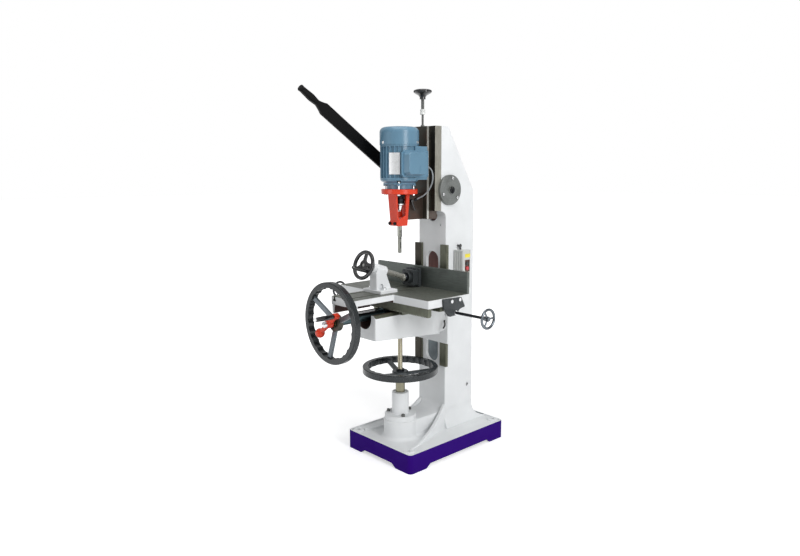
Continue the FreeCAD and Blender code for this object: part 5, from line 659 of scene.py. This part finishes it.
def threaded_mesh(name, sections, x, y, pitch, depth, sides=28, steps=6):
    """Upright rod in sections of (low, high, radius, threaded), with a rounded helical thread."""
    points = []
    for low, high, radius, threaded in sections:
        count = max(1, round((high - low) / pitch * steps)) if threaded else 1
        for j in range(count + 1):
            z = low + (high - low) * j / count
            for i in range(sides):
                turn = i / sides
                dip = 0.5 - 0.5 * math.cos(2 * math.pi * (z / pitch - turn)) if threaded else 0.0
                r = radius - depth * dip
                angle = 2 * math.pi * turn
                points.append((x + r * math.cos(angle), y + r * math.sin(angle), z))
    return mesh_from(name, points, ring_faces(len(points) // sides, sides))


def curved_plate(name, centre, radius, angles, heights, thickness, steps=10):
    """Sheet bent round an upright axis."""
    points = []
    faces = []
    for i in range(steps + 1):
        angle = math.radians(angles[0] + (angles[1] - angles[0]) * i / steps)
        for r in (radius - thickness, radius):
            x = centre[0] + r * math.cos(angle)
            y = centre[1] + r * math.sin(angle)
            points += [(x, y, z) for z in heights]
    for i in range(steps):
        a = 4 * i
        b = a + 4
        faces += [(a + 2, b + 2, b + 3, a + 3), (a, a + 1, b + 1, b), (a + 1, a + 3, b + 3, b + 1),
                  (a, b, b + 2, a + 2)]
    last = 4 * steps
    faces += [(0, 2, 3, 1), (last, last + 1, last + 3, last + 2)]
    return mesh_from(name, points, faces)


def dome(radius, height, steps=5):
    """Profile of a low round head."""
    turns = [math.pi / 2 * i / steps for i in range(steps)]
    return [(radius * math.cos(t), height * math.sin(t)) for t in turns] + [(radius * 0.05, height)]


def outward(angle):
    turn = math.radians(angle)
    return Vector((math.cos(turn), math.sin(turn), 0))


def on_motor(angle, radius, z):
    return Vector((0, AXIS_Y, z)) + outward(angle) * radius


PLATE_ANGLES = (-74.0, -41.0)
PLATE_HEIGHTS = (1.374, 1.472)
PLATE_T = 0.0008
RIVET_IN = (3.0, 0.005)  # from the plate's edges, in degrees and upright
FIN_R = 0.090
PLATE_R = FIN_R + 0.0009 # its outer face
COWL_R = 0.092
COWL_SEAT_R = COWL_R - 0.0004
COWL_SCREW_ANGLES = (-97.0, 23.0, 143.0)
COWL_SCREW_Z = 1.520
WASHER = [(0.0075, 0), (0.0075, 0.0012), (0.004, 0.0014)]
SCREW_HEAD = [(0.005, 0.0010), (0.005, 0.0042), (0.004, 0.0050)]
RIVET_HEAD = dome(0.0022, 0.0010)


def motor_details():
    """Blank plate on the fins with its rivets, and the cowl's screws on their washers."""
    plate = curved_plate("motor_plate", (0, AXIS_Y), PLATE_R, PLATE_ANGLES, PLATE_HEIGHTS, PLATE_T)
    finish_piece("motor_plate", plate, BARE_PLATE, "head")
    turn_in, z_in = RIVET_IN
    for i, angle in enumerate((PLATE_ANGLES[0] + turn_in, PLATE_ANGLES[1] - turn_in)):
        for j, z in enumerate((PLATE_HEIGHTS[0] + z_in, PLATE_HEIGHTS[1] - z_in)):
            at = on_motor(angle, FIN_R + PLATE_T, z)
            rivet = turned_mesh("plate_rivet", RIVET_HEAD, at, outward(angle), 12)
            finish_piece("plate_rivet_%d%d" % (i, j), rivet, BRIGHT, "head")
    for i, angle in enumerate(COWL_SCREW_ANGLES):
        at = on_motor(angle, COWL_SEAT_R, COWL_SCREW_Z)
        washer = turned_mesh("cowl_washer", WASHER, at, outward(angle), 20)
        finish_piece("cowl_washer_%d" % i, washer, BRIGHT, "head")
        head = turned_mesh("cowl_screw", SCREW_HEAD, at, outward(angle), 6)
        finish_piece("cowl_screw_%d" % i, head, BRIGHT, "head", 0.3)


CHUCK_RIBS = 36
RIB_PROFILE = [(0.0004, 0), (0.0009, 0.001), (0.0009, 0.015), (0.0004, 0.016)]
RIB_LOW = 0.019          # foot of a rib below the chuck's top


def chuck_details():
    """Knurled ribs round the chuck's upper ring."""
    low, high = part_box("drill_chuck")
    radius = (high.x - low.x) / 2
    for i in range(CHUCK_RIBS):
        angle = 2 * math.pi * i / CHUCK_RIBS
        at = (radius * math.cos(angle), AXIS_Y + radius * math.sin(angle), high.z - RIB_LOW)
        rib = turned_mesh("chuck_rib", RIB_PROFILE, at, (0, 0, 1), 6)
        finish_piece("chuck_rib_%02d" % i, rib, DARK_STEEL, "spindle")


SCREW_PITCH = 0.006
SCREW_DEPTH = 0.0016
SCREW_NOSE = 0.002
DEPTH_PITCH = 0.0025
DEPTH_DEPTH = 0.0007
DEPTH_ROD_R = 0.008
DEPTH_STEM_R = 0.0055
DEPTH_RING_R = 0.009
DEPTH_CORE_R = 0.0075    # inside the collar
DEPTH_CAP_Z = 1.5797
DEPTH_NECK_Z = 1.6003
DEPTH_RING_Z = 1.607
DEPTH_COLLAR_Z = (1.656, 1.681)
COLLAR_R = (0.0105, 0.0110, 0.0120)  # groove, rounded end, body
THREAD_ANGLE = 1.2       # smooth over the whole thread


def screws():
    """Threads of the elevating screw and of the depth stop's rod, in place of the plain rods."""
    low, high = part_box("elevating_screw")
    radius = (high.x - low.x) / 2
    nose = low.z + SCREW_NOSE
    sections = [(low.z, nose, radius - SCREW_NOSE, False), (nose, high.z, radius, True)]
    mesh = threaded_mesh("elevating_thread", sections, 0, AXIS_Y, SCREW_PITCH, SCREW_DEPTH)
    screw = finish_piece("elevating_thread", mesh, SCREW_STEEL, "knee_unit", THREAD_ANGLE)
    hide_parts("elevating_screw")
    low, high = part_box("depth_screw")
    y = (low.y + high.y) / 2
    lower, upper = DEPTH_COLLAR_Z
    sections = [(low.z, DEPTH_CAP_Z, DEPTH_ROD_R, True),
                (DEPTH_CAP_Z, DEPTH_NECK_Z, DEPTH_STEM_R, False),
                (DEPTH_NECK_Z, DEPTH_RING_Z, DEPTH_RING_R, False),
                (DEPTH_RING_Z, lower, DEPTH_STEM_R, True),
                (lower, upper, DEPTH_CORE_R, False),
                (upper, high.z, DEPTH_ROD_R, True)]
    rod = threaded_mesh("depth_thread", sections, 0, y, DEPTH_PITCH, DEPTH_DEPTH)
    rod = finish_piece("depth_thread", rod, ROD_STEEL, "depth_rod", THREAD_ANGLE)
    groove, end, body = COLLAR_R
    length = upper - lower
    profile = [(end, 0), (body, 0.001), (body, 0.010), (groove, 0.012), (groove, 0.014),
               (body, 0.016), (body, length - 0.001), (end, length)]
    collar = turned_mesh("depth_collar", profile, (0, y, lower), (0, 0, 1))
    finish_piece("depth_collar", collar, LIGHT_PLASTIC, "depth_rod")
    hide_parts("depth_screw")


FILM_Y = (0.104, 0.141)
FILM_Z = (0.968, 0.986)
FILM_T = 0.0003
ELBOW_Y = 0.122
ELBOW_Z = 1.022
ELBOW_RING = [(0.0095, 0), (0.0095, 0.0012), (0.0085, 0.0022), (0.0062, 0.0024)]


def plate_mesh(name, x, y_span, z_span, thickness, corner=0.0015, steps=4):
    """Thin plate with rounded corners on a face that looks along +X."""
    near_y, far_y = y_span[0] + corner, y_span[1] - corner
    low_z, high_z = z_span[0] + corner, z_span[1] - corner
    corners = ((far_y, high_z, 0), (near_y, high_z, 90), (near_y, low_z, 180), (far_y, low_z, 270))
    outline = []
    for cy, cz, start in corners:
        for i in range(steps + 1):
            angle = math.radians(start + 90 * i / steps)
            outline.append((cy + corner * math.cos(angle), cz + corner * math.sin(angle)))
    points = [(x, y, z) for y, z in outline] + [(x + thickness, y, z) for y, z in outline]
    return mesh_from(name, points, ring_faces(2, len(outline)))


def switch_details():
    """Blank coloured film on the switch box and the ring round the elbow's hole."""
    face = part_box("switch_box")[1].x
    film = plate_mesh("switch_film", face, FILM_Y, FILM_Z, FILM_T)
    finish_piece("switch_film", film, YELLOW, "frame")
    ring = turned_mesh("elbow_ring", ELBOW_RING, (COLUMN_HIGH.x, ELBOW_Y, ELBOW_Z), (1, 0, 0))
    finish_piece("elbow_ring", ring, BLACK_MOULD, "frame")


def round_curve(name, route, radius, round_steps, material):
    """Round bar or cord along a smooth curve through its first and last points, in metres."""
    data = bpy.data.curves.new(name, "CURVE")
    data.dimensions = "3D"
    spline = data.splines.new("NURBS")
    spline.points.add(len(route) - 1)
    for point, at in zip(spline.points, route):
        point.co = (*at, 1)
    spline.order_u = 3
    spline.use_endpoint_u = True
    data.bevel_depth = radius
    data.bevel_resolution = round_steps
    data.use_fill_caps = True
    data.materials.append(material)
    curve = bpy.data.objects.new(name, data)
    bpy.context.scene.collection.objects.link(curve)
    return curve


HOOK_R = 0.0045
HOOK_ROUTE = [(0.124, -0.004, 0.664), (0.128, -0.008, 0.655), (0.130, -0.006, 0.644),
              (0.133, -0.014, 0.636), (0.138, -0.026, 0.631)]


def knee_lock():
    """Small bent lock handle at the knee's rear plate."""
    handle = round_curve("knee_lock_handle", HOOK_ROUTE, HOOK_R, 4, BLACK_GLOSS)
    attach(handle, "knee_unit")


PEDESTAL_HALF = 0.075
PEDESTAL_TOP = 0.178
PEDESTAL_Y = (-0.155, 0.036)
PEDESTAL_BLEND = 0.038   # radius into the column's front
PEDESTAL_FLARE = 0.016   # radius into the tray
PEDESTAL_ROUND = 0.006   # size of its rounded top edges
COLUMN_FRONT_Y = 0.035
PEDESTAL_BLEND_Y = COLUMN_FRONT_Y - PEDESTAL_BLEND
TRAY_Z = 0.088
TRAY_SINK = 0.002        # how far the block goes into the tray's floor


def pedestal_section(y, steps=6):
    """Half outline of the raised block at y, from the middle of its top to the tray."""
    along = min(max(y - PEDESTAL_BLEND_Y, 0.0), PEDESTAL_BLEND)
    top = PEDESTAL_TOP + PEDESTAL_BLEND - math.sqrt(PEDESTAL_BLEND ** 2 - along ** 2)
    halfway = 0.3 * PEDESTAL_ROUND   # near the middle of a quarter circle
    points = [(0, top), (PEDESTAL_HALF - PEDESTAL_ROUND, top),
              (PEDESTAL_HALF - halfway, top - halfway), (PEDESTAL_HALF, top - PEDESTAL_ROUND)]
    for i in range(steps + 1):
        angle = math.pi / 2 * i / steps
        points.append((PEDESTAL_HALF + PEDESTAL_FLARE * (1 - math.cos(angle)),
                       TRAY_Z + PEDESTAL_FLARE * (1 - math.sin(angle))))
    points.append((PEDESTAL_HALF + PEDESTAL_FLARE, TRAY_Z - TRAY_SINK))
    return points


def pedestal(steps=10):
    """Raised block of the base between the pillar's boss and the column."""
    low, high = PEDESTAL_Y
    curved = [PEDESTAL_BLEND_Y + PEDESTAL_BLEND * math.sin(math.pi / 2 * i / steps)
              for i in range(steps + 1)]
    stations = [low] + curved + [high]
    points = []
    for y in stations:
        half = pedestal_section(y)
        ring = [(x, z) for x, z in half] + [(-x, z) for x, z in reversed(half[1:])]
        points += [(x, y, z) for x, z in ring]
    count = len(points) // len(stations)
    mesh = mesh_from("base_pedestal", points, ring_faces(len(stations), count, flipped=True))
    finish_piece("base_pedestal", mesh, WHITE, "frame", 0.7)


# Motor cable -------------------------------------------------------------------------------------

CABLE_R = 0.0035
CABLE_ROUTE = [(77.0, -98.0, 1412.0), (79.0, -76.0, 1410.0), (92.0, -62.0, 1393.0),
               (97.0, -60.0, 1357.0), (90.0, -61.5, 1326.0), (76.0, -66.0, 1300.0),
               (56.0, -75.0, 1277.0), (40.0, -87.0, 1265.0), (25.0, -101.0, 1256.0)]


def motor_cable():
    """Cable from the terminal box to the arm of the head slide."""
    route = [tuple(v * MM for v in at) for at in CABLE_ROUTE]
    cord = round_curve("motor_cord", route, CABLE_R, 5, CABLE)
    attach(cord, "head")
    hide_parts("motor_cable")


# Light and floor ---------------------------------------------------------------------------------

def area_light(name, at, aim, size, watts):
    data = bpy.data.lights.new(name, "AREA")
    data.shape = "RECTANGLE"
    data.size, data.size_y = size
    data.energy = watts
    lamp = bpy.data.objects.new(name, data)
    lamp.location = at
    lamp.rotation_euler = (Vector(aim) - Vector(at)).to_track_quat("-Z", "Y").to_euler()
    bpy.context.scene.collection.objects.link(lamp)
    return lamp


WORLD_LIGHT = 0.40
WORLD_TINT = (0.97, 0.985, 1.0, 1)
GLOSSY_SHARE = 0.35      # how much of the white background mirrors in the machine
FLOOR_REACH = 40.0
FLOOR_GREY = (0.80, 0.80, 0.80, 1)
FLOOR_NEAR = 0.9         # within this distance the floor shows its shadows
FLOOR_FAR = 2.6
FLOOR_GLOW = (0.50, 1.0)
PURE_WHITE = (1, 1, 1, 1)


def make_world():
    """White background for the camera, with a dimmer sky that gives the light."""
    world = bpy.data.worlds.new("studio")
    bpy.context.scene.world = world
    world.use_nodes = True
    tree = world.node_tree
    tree.nodes.clear()
    path = tree.nodes.new("ShaderNodeLightPath")
    light = tree.nodes.new("ShaderNodeBackground")
    light.inputs["Color"].default_value = WORLD_TINT
    light.inputs["Strength"].default_value = WORLD_LIGHT
    seen = tree.nodes.new("ShaderNodeBackground")
    seen.inputs["Color"].default_value = PURE_WHITE
    seen.inputs["Strength"].default_value = 1.0
    either = tree.nodes.new("ShaderNodeMath")
    either.operation = "MAXIMUM"
    tree.links.new(path.outputs["Is Camera Ray"], either.inputs[0])
    tree.links.new(path.outputs["Is Transmission Ray"], either.inputs[1])
    glossy = tree.nodes.new("ShaderNodeMath")
    glossy.operation = "MULTIPLY_ADD"
    tree.links.new(path.outputs["Is Glossy Ray"], glossy.inputs[0])
    glossy.inputs[1].default_value = GLOSSY_SHARE
    tree.links.new(either.outputs[0], glossy.inputs[2])
    mix = tree.nodes.new("ShaderNodeMixShader")
    tree.links.new(glossy.outputs[0], mix.inputs[0])
    tree.links.new(light.outputs[0], mix.inputs[1])
    tree.links.new(seen.outputs[0], mix.inputs[2])
    out = tree.nodes.new("ShaderNodeOutputWorld")
    tree.links.new(mix.outputs[0], out.inputs[0])


def make_floor():
    """Pale floor that looks white to the camera and keeps a soft shadow."""
    r = FLOOR_REACH
    mesh = mesh_from("floor", [(-r, -r, 0), (r, -r, 0), (r, r, 0), (-r, r, 0)], [(0, 1, 2, 3)])
    floor = bpy.data.objects.new("floor", mesh)
    bpy.context.scene.collection.objects.link(floor)
    s = Shader("pale_floor")
    s.set(Base_Color=FLOOR_GREY, Roughness=0.9, Emission_Color=PURE_WHITE)
    path = s.add("ShaderNodeLightPath")
    seen = s.calc("MAXIMUM", path.outputs["Is Camera Ray"], path.outputs["Is Glossy Ray"])
    distance = s.add("ShaderNodeVectorMath", operation="LENGTH")
    s.feed(distance, 0, s.place)
    glow = s.span(distance.outputs["Value"], FLOOR_NEAR, FLOOR_FAR, *FLOOR_GLOW)
    s.set(Emission_Strength=s.calc("MULTIPLY", seen, glow))
    mesh.materials.append(s.material)


# Place, point that it looks at, width and height, and watts.
LAMPS = {
    "key_right": ((3.4, -0.5, 2.2), (0, -0.1, 0.9), (1.2, 2.2), 71),
    "fill_left": ((-1.0, -3.4, 0.9), (0, -0.2, 0.6), (1.6, 1.2), 16),
    "top_soft": ((0.4, -0.4, 3.6), (0, 0, 0.8), (2.4, 2.4), 40),
    "column_inside": ((0.068, 0.13, 0.72), (-0.076, 0.11, 0.72), (0.08, 0.80), 0.30),
}


def make_lights():
    """Key from the right, fill from the left, soft top light and a strip inside the column."""
    lamps = {name: area_light(name, *settings) for name, settings in LAMPS.items()}
    lamps["column_inside"].visible_camera = False


def main():
    make_camera()
    motor_cable()
    dress_all()
    motor_details()
    chuck_details()
    screws()
    switch_details()
    knee_lock()
    pedestal()
    make_world()
    make_floor()
    make_lights()
    bpy.context.scene.view_settings.view_transform = "Standard"
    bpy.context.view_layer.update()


main()
